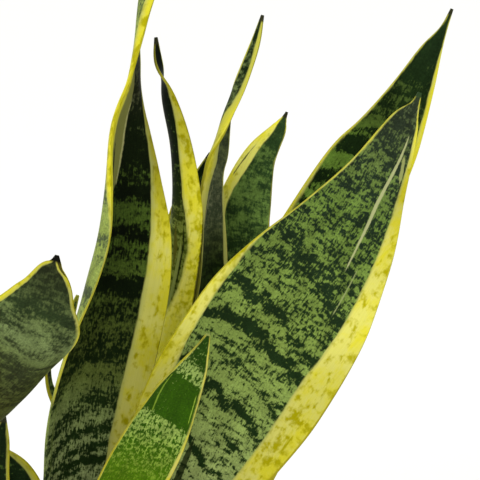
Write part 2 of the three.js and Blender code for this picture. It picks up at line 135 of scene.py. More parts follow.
LEAVES = {
    "leaf_broad_right": {
        "margins": [
            (100, 8, 8), (160, 11, 12), (205, 12, 15.5), (229, 12, 17.2), (244, 12, 18.3), (255, 11, 18.1),
            (267, 10.4, 16), (280, 8, 14.6), (294, 6.2, 12), (305, 5, 10.2), (319, 2.6, 8.4),
            (328, 1.4, 6.6), (338, 1.1, 4.6), (349, 1, 3.2), (363, 0.9, 1.9), (378, 0.9, 1.1),
            (390, 0.1, 0.1),
        ],
        "margin_lights_and_shades": [
            (205, 1, 0.8), (240, 1, 0.8), (262, 1, 0.86), (272, 1.05, 1), (290, 1.1, 1.04), (325, 1, 0.88),
            (336, 1, 0.7), (345, 1, 0.62), (356, 1, 0.8), (366, 1.1, 1.1),
        ],
        "bands": [
            (0.3, 0.64), (0.356, 0.68), (0.367, 0.02), (0.378, 0.68), (0.414, 0.64), (0.424, 0.3),
            (0.433, 0.64), (0.455, 0.64), (0.466, 0), (0.477, 0.66), (0.505, 0.6), (0.515, 0.3),
            (0.523, 0.62), (0.562, 0.62), (0.572, 0.04), (0.579, 0.04), (0.588, 0.62), (0.602, 0.58),
            (0.612, 0.06), (0.622, 0.56), (0.67, 0.5), (0.685, 0.2), (0.698, 0.2), (0.712, 0.6),
            (0.742, 0.4), (0.775, 0.58), (0.8, 0.46), (0.86, 0.52), (0.885, 0.36), (0.98, 0.25),
        ],
        "light": [
            (0.3, "#9bab66"), (0.45, "#8ba052"), (0.6, "#7c9243"), (0.8, "#688238"), (0.88, "#64783c"),
            (0.97, "#4e5a3a"),
        ],
        # the greyer dark green towards the tip is a painted sheen
        "dark": [(0.3, "#1a2e0e"), (0.6, "#1c2e14"), (0.85, "#223020"), (0.95, "#2c3626")],
        "course": [
            (0, 0.01, 0.055, 0.7, 0.65), (0.48, 0.01, 0.055, 0.75, 0.6), (0.55, 0.03, 0.025, 0.9, 0.48),
            (0.6, 0.03, 0.025, 0.95, 0.32), (0.68, 0.01, 0.05, 1.05, 0.35), (0.76, 0.01, 0.05, 1.05, 0.6),
            (1, 0.01, 0.03, 1, 0.8),
        ],
        "wander": 0.06,
        "patches": 1.3,
        "blotches": 2,
        "specks": 1.3,
        "teeth": 1.7,
        "softness": 0.24,
        "blotched": 0.8,
        "spine": 3,
        "spine_colour": "#34482a",
        "streaks": [
            ("#a0961a", [
                (290, 1, -2), (278, 1, 0.3), (262, 1, 1.2), (245, 1, 1.8), (205, 1, 2.2), (150, 1, 1.6),
                (120, 1, -2),
            ]),
            # painted shadow: a dark strip beside the young leaf's edge, where it shades this leaf
            ("#1a260c", [
                (228, -0.18, -2), (222, -0.16, 0.8), (214, -0.14, 1.6), (200, -0.12, 2), (185, -0.1, 2),
                (175, 0, -2),
            ]),
            ("#b4b880", [
                (374, 0.56, -2), (370, 0.55, 0.2), (363, 0.53, 0.5), (356, 0.45, 0.8), (350, 0.38, 0.9),
                (340, 0.29, 0.9), (331, 0.3, 1), (324, 0.29, 0.7), (314, 0.3, 0.5), (307, 0.32, 0.4),
                (303, 0.33, 0.2), (300, 0.33, -2),
            ]),
            ("#9aa060", [
                (366, 0.56, -2), (361, 0.6, 0.5), (354, 0.66, 1), (346, 0.71, 0.8), (341, 0.72, -2),
            ]),
            ("#9aa468", [
                (310, 0.48, -2), (307, 0.48, 0.4), (295, 0.48, 0.4), (286, 0.47, 0.3), (280, 0.47, -2),
            ]),
        ],
    },
    "leaf_tall_left": {
        "margins": [
            (100, -2, 6), (180, -2, 13), (214, -2, 15), (226, -2, 14.6), (242, -0.6, 14.2), (250, 0.9, 14),
            (262, 2, 13.4), (293, 2, 13.3), (312, 1.8, 12), (327, 1.7, 10.4), (341, 1.7, 7.4),
            (347, 1.8, 6.2), (354, 4, 5), (361, 8.2, 4), (371, 8.7, 2.8), (380, 8.3, 2.4), (398, 7.8, 1.8),
            (410, 5, 1.5), (430, 3, 1), (466, 0.3, 0.3),
        ],
        "outer_margins": [
            (100, -2, 6), (230, -1, 7), (250, 0.6, 8), (309, 0.6, 8), (327, 0.9, 8), (338, 1.3, 6),
            (345, 2.4, 5), (351, 5, 4), (361, 6, 3), (385, 6, 3), (395, 5, 2), (405, 5, 1.5),
            (420, 4.8, 1.2), (440, 4, 1), (466, 0.3, 0.3),
        ],
        # the right margin is painted darker where it lies in shade
        "margin_lights_and_shades": [
            (200, 0.8, 0.76), (244, 0.9, 0.78), (264, 1.05, 0.68), (279, 1.1, 0.86), (293, 1.1, 0.76),
            (312, 1.1, 0.84), (326, 1.05, 0.88), (340, 1, 0.62), (355, 1, 0.42), (369, 1, 0.36),
            (400, 0.95, 0.5),
        ],
        "bands": [
            (0.237, 0.2), (0.255, 0.6), (0.28, 0.62), (0.295, 0.2), (0.306, 0.58), (0.317, 0.2),
            (0.331, 0.66), (0.345, 0.16), (0.362, 0.66), (0.377, 0.3), (0.395, 0.42), (0.41, 0.68),
            (0.43, 0.72), (0.45, 0.25), (0.48, 0.45), (0.53, 0.5), (0.548, 0.02), (0.566, 0.6),
            (0.583, 0.52), (0.588, 0.25), (0.6, 0.62), (0.614, 0.08), (0.625, 0.58), (0.65, 0.56),
            (0.664, 0.1), (0.69, 0.4), (0.71, 0.1), (0.76, 0.2), (0.8, 0.45), (0.86, 0.5), (0.99, 0.3),
        ],
        # darker up the middle: partly its own colour, partly painted shade inside the curl;
        # the greyish light and dark stops near 0.8 of the length are a painted sheen
        "light": [
            (0.28, "#909e64"), (0.34, "#86955a"), (0.385, "#6c7b42"), (0.42, "#57632c"), (0.47, "#4c5824"),
            (0.6, "#42561c"), (0.72, "#3c4e1c"), (0.8, "#4a4c34"), (0.9, "#5c6a40"),
        ],
        "dark": [
            (0.28, "#1c2e10"), (0.4, "#1a290d"), (0.48, "#0f1c06"), (0.6, "#080f03"), (0.7, "#0c1405"),
            (0.76, "#111a08"), (0.82, "#1c1f12"),
        ],
        "outer_light": [(0, "#8f9f4e")],
        "outer_dark": [(0, "#4a5638")],
        "outer_lift": 0.2,
        "course": [
            (0, 0.04, -0.028, 1.3, 0.4), (0.45, 0.04, -0.025, 1.2, 0.5), (0.53, 0, 0, 1, 0.55),
            (0.62, 0, 0, 1, 0.65), (0.68, 0, 0, 1, 0.9), (1, 0, 0, 1, 0.95),
        ],
        "wander": 0.04,
        "patches": 0.4,
        "blotches": 0.7,
        "specks": 1,
        "teeth": 1,
        "softness": 0.22,
        "blotched": 0.7,
        "veil": 3.6,
        "rim": 0.2,
        "streaks": [
            # the margin's pale inner face where it curls over, as an olive-grey strip with painted shade
            ("#7c7e42", [
                (408, -0.1, -2), (402, -0.12, 1), (393, -0.15, 2), (384, -0.15, 2.8), (375, -0.17, 3.2),
                (366, -0.26, 3.5), (356, -0.34, 3.3), (347, -0.42, 2.8), (338, -0.5, 2.2), (325, -0.6, 1.4),
                (315, -0.7, 0.6), (305, -0.75, -2),
            ]),
            ("#1c2410", [
                (378, -0.32, -2), (372, -0.34, 0.2), (362, -0.37, 0.5), (352, -0.4, 0.8), (343, -0.42, 0.9),
                (330, -0.46, 0.7), (318, -0.52, 0.4), (308, -0.6, -2),
            ]),
            ("#a4a46c", [
                (396, 0.1, -2), (392, 0.1, 0.1), (384, 0.06, 0.3), (375, 0.04, 0.5), (366, -0.03, 0.6),
                (356, -0.16, 0.5), (347, -0.24, 0.3), (340, -0.24, -2),
            ]),
            ("#5f7030", [
                (262, -0.84, -2), (252, -0.84, 0.4), (224, -0.82, 0.5), (205, -0.8, 0.4), (190, -0.8, -2),
            ]),
        ],
    },
    "leaf_back_right": {
        "margins": [
            (100, 3, 3), (250, 4, 5), (331, 2.2, 3.6), (338, 2, 3.4), (354, 1.5, 3.2), (367, 1.1, 3),
            (382, 0.9, 2.5), (394, 0.7, 1.9), (406, 0.5, 0.7), (424, 0.1, 0.1),
        ],
        "bands": [
            (0.6, 0.5), (0.66, 0.55), (0.68, 0.2), (0.69, 0.65), (0.706, 0.6), (0.715, 0.2), (0.728, 0.3),
            (0.738, 0.8), (0.752, 0.8), (0.76, 0.2), (0.785, 0.2), (0.795, 0.56), (0.803, 0.3),
            (0.812, 0.68), (0.826, 0.64), (0.833, 0.28), (0.843, 0.56), (0.852, 0.28), (0.862, 0.5),
            (0.872, 0.22), (0.884, 0.42), (0.894, 0.2), (1, 0.12),
        ],
        "light": [(0.6, "#77983c"), (0.75, "#607e2e"), (0.82, "#4b5f26"), (0.9, "#3c4e22"), (1, "#2c3e1e")],
        "dark": [(0.6, "#162610"), (0.85, "#18280e"), (1, "#1e3018")],
        "course": [(0, 0.03, 0, 0.8, 0.6), (0.6, 0.03, 0, 1, 0.9), (1, 0.01, 0, 1, 1)],
        "wander": 0.03,
        "patches": 0.4,
        "blotches": 0.8,
        "specks": 0.8,
        "blotched": 0.4,
    },
    "leaf_centre_rolled": {
        "margins": [(100, 1.4, 1.4), (380, 1, 1), (416, 0.2, 0.2)],
        "outer_margins": [
            (100, 8, 1.4), (250, 14, 1.4), (267, 15.2, 1.4), (273, 15.2, 1.3), (277, 12.9, 1.3),
            (285, 11, 1.3), (293, 9.2, 1.2), (299, 7.8, 1.2), (309, 6.8, 1.2), (317, 7.2, 1.2),
            (326, 8.1, 1.2), (337, 9.2, 1), (349, 8.3, 0.9), (362, 7.2, 0.8), (370, 5.6, 0.7),
            (377, 4.4, 0.6), (386, 3.4, 0.6), (392, 1.5, 0.5), (396, 0.3, 0.3), (416, 0.1, 0.1),
        ],
        # the left margin is painted lighter low down, to lift the shade that falls between the leaves
        "margin_lights_and_shades": [(280, 1.4, 1), (310, 1.35, 1), (330, 1.15, 1), (350, 1, 1), (370, 0.7, 0.8)],
        "bands": [(0, 0.6), (0.7, 0.55), (0.76, 0.3), (0.85, 0.2), (1, 0.05)],
        "light": [(0.4, "#66752c"), (0.7, "#3f5522"), (1, "#22331a")],
        "dark": [(0.4, "#1b2a12"), (0.9, "#0c140a")],
        "outer_light": [(0.7, "#7a8638"), (0.76, "#4c5a24"), (0.84, "#36481e"), (1, "#22331a")],
        "outer_dark": [(0.7, "#404c10"), (0.75, "#1e2a08"), (0.8, "#0e1804"), (1, "#0a1204")],
        "course": [
            (0, 0.03, 0, 0.6, 0.5), (0.6, 0.03, 0, 0.8, 0.6), (0.8, 0.02, 0, 1, 0.8), (1, 0, 0, 1, 1),
        ],
        "patches": 0.6,
        "blotched": 0.8,
        "streaks": [
            # painted shadow in the dark gap between this leaf's edge and the twisted leaf
            ("#222a18", [
                (342, -1, -2), (334, -1, 0.4), (322, -1, 1.1), (295, -1, 1.4), (280, -1, 1.4),
                (270, -1, -2),
            ]),
            ("#5a5a18", [
                (330, 0.25, -2), (324, 0.19, 1.2), (316, 0.09, 1.4), (308, 0.03, 1.3), (301, 0, 0.8),
                (295, 0, -2),
            ]),
            ("#8f9a50", [
                (324, -0.1, -2), (317, -0.14, 0.5), (309, -0.17, 0.8), (301, -0.13, 0.9), (293, -0.08, 0.9),
                (286, -0.06, 0.8), (280, -0.04, 0.6), (270, 0, -2),
            ]),
            ("#16200c", [
                (332, -0.18, -2), (327, -0.2, 0.1), (319, -0.24, 0.4), (312, -0.26, 0.5), (305, -0.25, 0.5),
                (298, -0.21, 0.5), (286, -0.17, 0.4), (278, -0.15, -2),
            ]),
        ],
        "streaks_inside": False,
    },
    "leaf_centre_twisted": {
        "margins": [
            (100, 2, 0.8), (296, 0.8, 1.8), (305, 1.8, 3), (313, 3, 1.9), (324, 4, 1.3), (334, 5.7, 0.8),
            (344, 7.1, 0.5), (353, 9.6, 0.4), (365, 8, 0.3), (372, 7, 0.3), (390, 3, 0.6), (424, 0.1, 0.1),
        ],
        "outer_margins": [
            (100, 1, 1), (360, 3, 0.4), (372, 6, 0.6), (379, 3.4, 1.4), (389, 2.2, 1.6), (398, 1.8, 1.4),
            (407, 2, 0.8), (417, 1.2, 0.3), (424, 0.2, 0.1),
        ],
        "margin_lights_and_shades": [(300, 1, 0.75), (330, 1, 0.85), (350, 1, 1)],
        "bands": [(0, 0.5), (0.6, 0.4), (0.7, 0.35), (0.8, 0.5), (0.9, 0.4), (1, 0.2)],
        # dark, greyish green where the twist turns this face from the light: painted shade
        "light": [
            (0.4, "#3a4c1c"), (0.61, "#34461a"), (0.645, "#566232"), (0.7, "#767b5a"), (0.8, "#566038"),
            (1, "#3a4a28"),
        ],
        "dark": [
            (0.5, "#101a08"), (0.61, "#141f0b"), (0.65, "#303a20"), (0.7, "#404a32"), (0.77, "#3c4430"),
            (0.85, "#1d2a18"),
        ],
        "outer_light": [(0, "#6d7c46")],
        "course": [
            (0, 0.03, 0, 0.6, 0.1), (0.66, 0.02, 0, 0.6, 0.1), (0.8, 0.02, 0, 0.6, 0.75),
            (1, 0, 0, 0.9, 0.9),
        ],
        "patches": 0.7,
        "softness": 0.3,
        "blotched": 0.3,
        "veil": 6,
        "streaks": [
            # painted highlight: a pale line along the ridge where the leaf folds
            ("#8f8c60", [
                (346, 0.3, -2), (342, 0.26, 0.2), (334, -0.15, 0.3), (324, -0.5, 0.4), (315, -0.9, 0.5),
                (308, -0.95, -2),
            ]),
        ],
    },
    "leaf_centre_back": {
        "margins": [
            (100, 3, 1), (305, 5, 0.3), (327, 5.4, 0.2), (334, 5.9, 0.2), (339, 6.4, 0.3), (344, 6.6, 0.3),
            (350, 6.2, 0.3), (355, 4.7, 0.4), (359, 3.6, 0.5), (364, 1.6, 0.6), (368, 0.5, 0.4),
            (371, 0.1, 0.1),
        ],
        "margin_lights_and_shades": [(0, 1.5, 1)],
        "bands": [(0, 0.5), (0.7, 0.42), (0.86, 0.55), (0.9, 0.3), (0.93, 0.62), (0.955, 0.1), (1, 0.1)],
        "light": [(0.4, "#76944a"), (0.75, "#759445"), (0.92, "#6c8a42"), (1, "#3a502a")],
        "dark": [(0.5, "#2e4420"), (0.9, "#304824")],
        "course": [
            (0, 0.03, 0, 0.6, 0.3), (0.8, 0.02, 0, 0.9, 0.05), (0.9, 0.02, 0, 0.9, 0.35), (1, 0, 0, 1, 0.9),
        ],
        "softness": 0.3,
        "blotched": 0.2,
        "veil": 1.2,
        "streaks": [
            ("#3c4a20", [
                (360, -0.74, -2), (357, -0.72, 0.1), (352, -0.7, 0.3), (348, -0.74, 0.45),
                (344, -0.8, 0.55), (340, -0.86, 0.45), (336, -0.9, 0.2), (332, -0.92, -2),
            ]),
        ],
    },
    "leaf_centre_sliver": {
        "margins": [(100, 3, 1), (312, 4.5, 1), (324, 4.2, 0.8), (340, 1, 0.6), (354, 0.1, 0.1)],
        "bands": [(0, 0.5), (0.8, 0.3), (1, 0.2)],
        "light": [(0.5, "#55702c"), (1, "#2f4a24")],
    },
    "leaf_near_left": {
        "margins": [
            (100, 2, 2), (280, 2, 1.2), (315, 2.2, 1.7), (329, 2.2, 1.3), (338, 2, 1.7), (342, 1.8, 2.3),
            (347, 1.5, 2.4), (350, 1, 2.2),
        ],
        "margin_lights_and_shades": [(300, 1, 0.85), (318, 1, 0.8), (326, 1, 0.6), (336, 1, 0.65), (344, 0.9, 0.8)],
        "bands": [
            (0.3, 0.5), (0.5, 0.45), (0.6, 0.3), (0.7, 0.6), (0.78, 0.35), (0.85, 0.68), (0.9, 0.5),
            (0.915, 0.24), (0.93, 0.28), (0.945, 0.55), (0.965, 0.42), (1, 0.3),
        ],
        "light": [
            (0.6, "#4a5024"), (0.74, "#4c5428"), (0.8, "#586434"), (0.85, "#748450"), (0.9, "#667542"),
            (0.95, "#4a5630"), (1, "#343820"),
        ],
        "dark": [
            (0.6, "#23260f"), (0.74, "#282c14"), (0.82, "#323a20"), (0.9, "#2c3a1e"), (0.95, "#2a331c"),
            (1, "#1e2012"),
        ],
        "course": [(0, 0.03, 0, 0.7, 0.5), (0.7, 0.02, 0, 0.9, 0.6), (1, 0, 0, 1, 0.8)],
        "patches": 1.5,
        "blotches": 1,
        "softness": 0.3,
        "spine": 3.4,
        "spine_colour": "#12120c",
        "streaks": [
            ("#221f18", [
                (356, 1, -2), (352, 1, 1.4), (346, 1, 1.5), (342, 1, 1.1), (337, 1, -2),
            ]),
        ],
    },
    "leaf_low_left_outer": {
        "margins": [(100, 1.5, 1.6), (215, 1.5, 1.7), (240, 1.4, 1.7), (252, 0.4, 0.4)],
        "margin_lights_and_shades": [(0, 0.6, 0.6)],
        "bands": [(0, 0.4), (1, 0.15)],
        "light": [(0.4, "#55702c"), (1, "#3a4f24")],
        "course": [(0, 0.03, 0, 0.6, 0.9), (1, 0, 0, 1, 1)],
    },
    "leaf_low_left": {
        "margins": [(100, 3, 5), (200, 3.4, 5), (215, 3, 4), (229, 0.6, 0.6)],
        "margin_lights_and_shades": [(0, 0.55, 0.55)],
        "bands": [(0, 0.4), (1, 0.2)],
        "light": [(0.4, "#55702c"), (1, "#4a5f2c")],
        "course": [(0, 0.03, 0, 0.6, 0.9), (1, 0, 0, 1, 1)],
        "veil": 5,
    },
    "leaf_left_sliver": {
        "margins": [(100, 1.5, 1.2), (240, 1.2, 0.8), (270, 1, 0.8), (289, 0.6, 0.6)],
        "margin_lights_and_shades": [(0, 0.75, 0.75)],
        "light": [(0.4, "#7c9448"), (1, "#5c7838")],
        "course": [(0, 0.03, 0, 0.6, 0.9), (1, 0, 0, 1, 1)],
        "spine_colour": "#9a9c38",
    },
    "leaf_rear": {},
    "leaf_far_left": {
        "margins": [(100, 3, 3), (225, 5, 4), (295, 2, 1.6), (312, 0.2, 0.2)],
    },
    "leaf_pup": {
        "margins": [(100, 1, 1), (155, 1.4, 1.4), (188, 0.3, 0.3)],
        "bands": [(0, 0.6), (0.6, 0.45), (1, 0.4)],
        "light": [(0, "#8fae4a"), (0.6, "#5c8a2c"), (1, "#3f6a20")],
    },
}
YOUNG_LEAF = {
    "margins": [
        (100, 0.8, 1.6), (205, 0.6, 2), (219, 0.5, 1.6), (237, 0.4, 1), (254, 0.3, 0.7), (265, 0.3, 1),
        (276, 0.3, 1), (284, 0.3, 0.6), (289, 0.2, 0.2),
    ],
    "margin_lights_and_shades": [(0, 0.85, 0.85)],
    "bands": [
        (0.2, 0.35), (0.4, 0.22), (0.5, 0.18), (0.6, 0.4), (0.7, 0.48), (0.72, 0.54), (0.745, 0.54),
        (0.762, 0), (0.86, 0), (0.875, 0.5), (0.9, 0.55), (0.925, 0.3), (0.95, 0.25), (1, 0.05),
    ],
    "light": [
        (0.3, "#66861a"), (0.58, "#6c8c1e"), (0.66, "#8aa63e"), (0.72, "#98b254"), (0.9, "#9ab25c"),
        (1, "#6f9440"),
    ],
    "dark": [(0.3, "#4e7008"), (0.6, "#4a7006"), (0.7, "#305604"), (0.85, "#2f5203"), (1, "#1e3c08")],
    "course": [(0, 0, 0.015, 1, 0.8), (0.7, 0, 0.015, 1, 0.5), (1, 0, 0.015, 1, 0.3)],
    "wander": 0.02,
    "patches": 0.4,
    "blotches": 0.5,
    "specks": 1.6,
    "teeth": 1.4,
    "softness": 0.18,
    "blotched": 0,
    "veil": 0.8,
    "spine": 0.8,
    "spine_colour": "#8f9a50",
    "streaks": [
        ("#8aa832", [
            (272, -0.9, -2), (269, -0.88, 0.3), (258, -0.7, 0.45), (249, -0.56, 0.3), (246, -0.54, -2),
        ]),
        ("#9ab83c", [
            (262, 0.76, -2), (257, 0.78, 0.35), (246, 0.82, 0.35), (238, 0.85, 0.3), (233, 0.85, -2),
        ]),
    ],
}


class LeafSettings(bpy.types.PropertyGroup):
    """Sizes and colours of the leaves"""

    yellow: bpy.props.FloatVectorProperty(
        name="Margin yellow", description="Strong yellow of the leaf margins", default=linear("#e2d934"),
        **COLOUR)
    cream: bpy.props.FloatVectorProperty(
        name="Margin cream", description="Pale cream of the older margins", default=linear("#e1dc6c"),
        **COLOUR)
    blotch: bpy.props.FloatVectorProperty(
        name="Margin blotch", description="Yellow-green blotches in the margins", default=linear("#b4ac08"),
        **COLOUR)
    veil: bpy.props.FloatVectorProperty(
        name="Margin veil", description="Grey-green veil where the margin meets the green",
        default=linear("#98a060"), **COLOUR)
    rim: bpy.props.FloatVectorProperty(
        name="Margin rim", description="Olive line at the very edge of a leaf", default=linear("#8f8808"),
        **COLOUR)
    foot: bpy.props.FloatVectorProperty(
        name="Leaf foot", description="Pale green of a leaf where it leaves the soil",
        default=linear("#b9bd8c"), **COLOUR)
    skin_tone: bpy.props.FloatProperty(
        name="Skin tone", description="How much of the colours the skin gives back in the bright studio",
        default=0.85, min=0, max=1)
    tooth_width: bpy.props.FloatProperty(
        name="Tooth width", description="Width of the fine teeth that edge the bands", default=0.8 * MM,
        min=0.1 * MM, max=5 * MM, **LENGTH)
    tooth_length: bpy.props.FloatProperty(
        name="Tooth length", description="Length of the teeth along the leaf", default=3.4 * MM,
        min=0.1 * MM, max=20 * MM, **LENGTH)
    vein_spacing: bpy.props.FloatProperty(
        name="Vein spacing", description="Distance from one fine vein to the next", default=0.45 * MM,
        min=0.1 * MM, max=5 * MM, **LENGTH)
    vein_depth: bpy.props.FloatProperty(
        name="Vein depth", description="Depth of the fine grooves along the leaf", default=0.05 * MM,
        min=0, max=1 * MM, **LENGTH)
    smoothing: bpy.props.IntProperty(
        name="Smoothing levels", description="Levels of the subdivision surface on each leaf",
        default=2, min=1, max=3)


class PotSettings(bpy.types.PropertyGroup):
    """Sizes and colours of the clay pot"""

    clay: bpy.props.FloatVectorProperty(
        name="Clay", description="Colour of the fired clay", default=linear("#b4633f"), **COLOUR)
    bloom: bpy.props.FloatVectorProperty(
        name="Lime bloom", description="Pale salts that water leaves on the clay",
        default=linear("#d8bfa8"), **COLOUR)
    band_height: bpy.props.FloatProperty(
        name="Rim band height", description="Height of the thick band under the rim", default=27 * MM,
        min=5 * MM, max=60 * MM, **LENGTH)
    shoulder_radius: bpy.props.FloatProperty(
        name="Shoulder radius", description="Radius of the wall just under the band", default=69 * MM,
        min=20 * MM, max=200 * MM, **LENGTH)
    base_radius: bpy.props.FloatProperty(
        name="Base radius", description="Radius of the flat base", default=52 * MM,
        min=20 * MM, max=200 * MM, **LENGTH)
    lip: bpy.props.FloatProperty(
        name="Lip thickness", description="Thickness of the rounded lip", default=8 * MM,
        min=2 * MM, max=20 * MM, **LENGTH)
    wall: bpy.props.FloatProperty(
        name="Wall thickness", description="Thickness of the wall under the band", default=6 * MM,
        min=2 * MM, max=20 * MM, **LENGTH)
    floor: bpy.props.FloatProperty(
        name="Floor thickness", description="Thickness of the pot's floor", default=9 * MM,
        min=2 * MM, max=30 * MM, **LENGTH)
    steps: bpy.props.IntProperty(
        name="Turning steps", description="Faces round the pot, a multiple of the drain holes",
        default=144, min=24, max=360)


class SoilSettings(bpy.types.PropertyGroup):
    """Colours of the potting mix and the rhizome in it, and how much is strewn on top"""

    peat: bpy.props.FloatVectorProperty(
        name="Peat", description="Colour of the damp peat", default=linear("#3b2a1e"), **COLOUR)
    bark: bpy.props.FloatVectorProperty(
        name="Bark", description="Colour of the bark chips", default=linear("#7a4f30"), **COLOUR)
    grit: bpy.props.FloatVectorProperty(
        name="Grit", description="Colour of the pale volcanic grit", default=linear("#d9d3c4"), **COLOUR)
    rhizome: bpy.props.FloatVectorProperty(
        name="Rhizome", description="Colour of the rhizome's papery skin", default=linear("#c9a874"),
        **COLOUR)
    crumb_count: bpy.props.IntProperty(
        name="Crumbs", description="Number of peat crumbs on the surface", default=1500, min=0, max=4000)
    chip_count: bpy.props.IntProperty(
        name="Bark chips", description="Number of bark chips on the surface", default=130, min=0, max=1000)
    grit_count: bpy.props.IntProperty(
        name="Grit grains", description="Number of pale grains on the surface", default=90, min=0, max=1000)


class StageSettings(bpy.types.PropertyGroup):
    """The camera, the lights and the floor"""

    floor: bpy.props.FloatVectorProperty(
        name="Floor", description="Colour of the studio floor", default=linear("#f4f4f1"), **COLOUR)
    room_light: bpy.props.FloatProperty(
        name="Room light", description="Strength of the light from all round", default=0.75, min=0, max=10)
    ceiling_light: bpy.props.FloatProperty(
        name="Ceiling light", description="Strength of the broad light from above", default=1.5,
        min=0, max=20)
    key_light: bpy.props.FloatProperty(
        name="Key light", description="Power of the square lamp at the left", subtype="POWER", unit="POWER",
        default=4, min=0, max=100)
    distance: bpy.props.FloatProperty(
        name="Camera distance", description="Distance from the camera to its target", default=800 * MM,
        min=0.1, max=10, **LENGTH)
    elevation: bpy.props.FloatProperty(
        name="Camera elevation", description="Angle of the camera above the horizon", subtype="ANGLE",
        unit="ROTATION", default=math.radians(15), min=0, max=math.radians(90))
    target: bpy.props.FloatVectorProperty(
        name="Camera target", description="Point in the middle of the picture", subtype="XYZ", size=3,
        unit="LENGTH", default=(62 * MM, 0, 321 * MM))
    lens: bpy.props.FloatProperty(
        name="Lens", description="Focal length of the camera", subtype="DISTANCE_CAMERA", unit="CAMERA",
        default=125, min=20, max=300)


def add(tree, kind, settings, inputs):
    """Add a shader node, set its properties, and give its inputs values or links."""
    node = tree.nodes.new("ShaderNode" + kind)
    for name, value in settings.items():
        setattr(node, name, value)
    sockets = [socket for socket in node.inputs if socket.enabled]
    for name, value in inputs.items():
        socket = sockets[name] if isinstance(name, int) else next(s for s in sockets if s.name == name)
        if isinstance(value, bpy.types.Node):
            value = next(output for output in value.outputs if output.enabled)
        if isinstance(value, bpy.types.NodeSocket):
            tree.links.new(value, socket)
        else:
            socket.default_value = value
    return node


def set_stops(ramp_node, stops):
    """Put (place, colour or grey) stops on a colour ramp."""
    elements = ramp_node.color_ramp.elements
    while len(elements) > 1:
        elements.remove(elements[-1])
    for number, (place, value) in enumerate(stops):
        element = elements[0] if number == 0 else elements.new(place)
        element.position = place
        element.color = (*linear(value), 1) if isinstance(value, str) else (value, value, value, 1)


def tinted(tree, under, colour, place, limits, strengths=(0, 1)):
    """A colour laid over another, in a strength that changes gently as a place goes between two limits."""
    strength = add(tree, "MapRange", GENTLE, {
        "Value": place, "From Min": limits[0], "From Max": limits[1],
        "To Min": strengths[0], "To Max": strengths[1]})
    return add(tree, "Mix", COLOURS, {"Factor": strength, "A": under, "B": (*colour, 1)})


def mottled(tree, colour, pattern, darkest, lightest, span=NOISE_SPAN):
    """A colour that a noise makes darker and lighter."""
    tone = add(tree, "MapRange", {}, {"Value": pattern, **span, "To Min": darkest, "To Max": lightest})
    return add(tree, "VectorMath", {"operation": "SCALE"}, {0: colour, "Scale": tone})


def new_material(name):
    """An empty material, its node tree and its output node."""
    material = bpy.data.materials.new(name)
    material.use_nodes = True
    tree = material.node_tree
    tree.nodes.clear()
    return material, tree, tree.nodes.new("ShaderNodeOutputMaterial")


def finished(name, mesh, material, slot, *nodes, smooth=True):
    """Show a mesh as a piece of the plant, in the place of CAD nodes."""
    obj = bpy.data.objects.new(name, mesh)
    bpy.context.scene.collection.objects.link(obj)
    mesh.materials.append(material)
    mesh.polygons.foreach_set("use_smooth", [smooth] * len(mesh.polygons))
    if nodes:
        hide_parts(*nodes)
    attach(obj, BODY)
    return obj


# Leaf shapes

def joined(a, b):
    """Whether an edge joins two vertices."""
    return any(edge.other_vert(a) is b for edge in a.link_edges)


def ring_cycle(ring):
    """A ring's vertices in the order that they go round the blade."""
    members = set(ring)
    around = {vertex: [] for vertex in ring}
    for vertex in ring:
        for edge in vertex.link_edges:
            other = edge.other_vert(vertex)
            leaves_ring = any(set(face.verts) - members for face in edge.link_faces)
            if other in members and leaves_ring:
                around[vertex].append(other)
    cycle = [ring[0], around[ring[0]][0]]
    while len(cycle) < len(ring):
        cycle.append(next(vertex for vertex in around[cycle[-1]] if vertex is not cycle[-2]))
    return cycle


def blade_rings(bm):
    """A CAD blade's rings from its root, each in the order inner face left to right, outer face back."""
    root = min(vertex.co.z for vertex in bm.verts) + SAME_PLACE
    ring = [vertex for vertex in bm.verts if vertex.co.z < root]
    seen = set(ring)
    rings = [ring_cycle(ring)]
    while True:
        ring = list({edge.other_vert(vertex) for vertex in rings[-1] for edge in vertex.link_edges} - seen)
        if not ring:
            break
        seen.update(ring)
        cycle = ring_cycle(ring)
        turns = [way[k:] + way[:k] for way in (cycle, cycle[::-1]) for k in range(RING)]
        rings.append(next(turn for turn in turns if all(map(joined, rings[-1], turn))))

    # each ring starts at a margin: of two opposite edges, the margins' thin ones lie furthest apart
    half = RING // 2

    def spread(k):
        """How far apart the edges before places k and k + half lie."""
        return sum(
            (ring[k].co + ring[k - 1].co - ring[(k + half) % RING].co - ring[k + half - 1].co).length
            for ring in rings
        )

    start = max(range(half), key=spread)
    rings = [ring[start:] + ring[:start] for ring in rings]

    # the inner face comes first, and it runs from left to right
    middle = half // 2
    root_ring = rings[0]
    chord = (root_ring[0].co + root_ring[half - 1].co + root_ring[half].co + root_ring[-1].co) / 4
    if (root_ring[middle].co - chord).length > (root_ring[half + middle].co - chord).length:
        rings = [ring[half:] + ring[:half] for ring in rings]
        root_ring = rings[0]
    upwards = rings[1][middle].co - root_ring[middle].co
    inwards = root_ring[middle].co - root_ring[half + middle].co
    if (root_ring[half - 1].co - root_ring[0].co).dot(upwards.cross(inwards)) < 0:
        rings = [ring[half - 1::-1] + ring[:half - 1:-1] for ring in rings]
    return rings


def held_shape(points, rounds=12):
    """Control points whose smooth surface passes through the given points, along the first axis.

    A smooth surface takes 2/3 of its control point and 1/6 of each neighbour, so each round solves that for
    the control point, and 12 rounds bring it to rest.
    """
    control = points.copy()
    for _ in range(rounds):
        control[1:-1] = (points[1:-1] - (control[:-2] + control[2:]) / 6) * 1.5
    return control


def streak_places(streaks):
    """The names of the places that a leaf's streaks need."""
    return [name + str(number) for number in range(len(streaks)) for name in ("streak_", "streak_half_")]


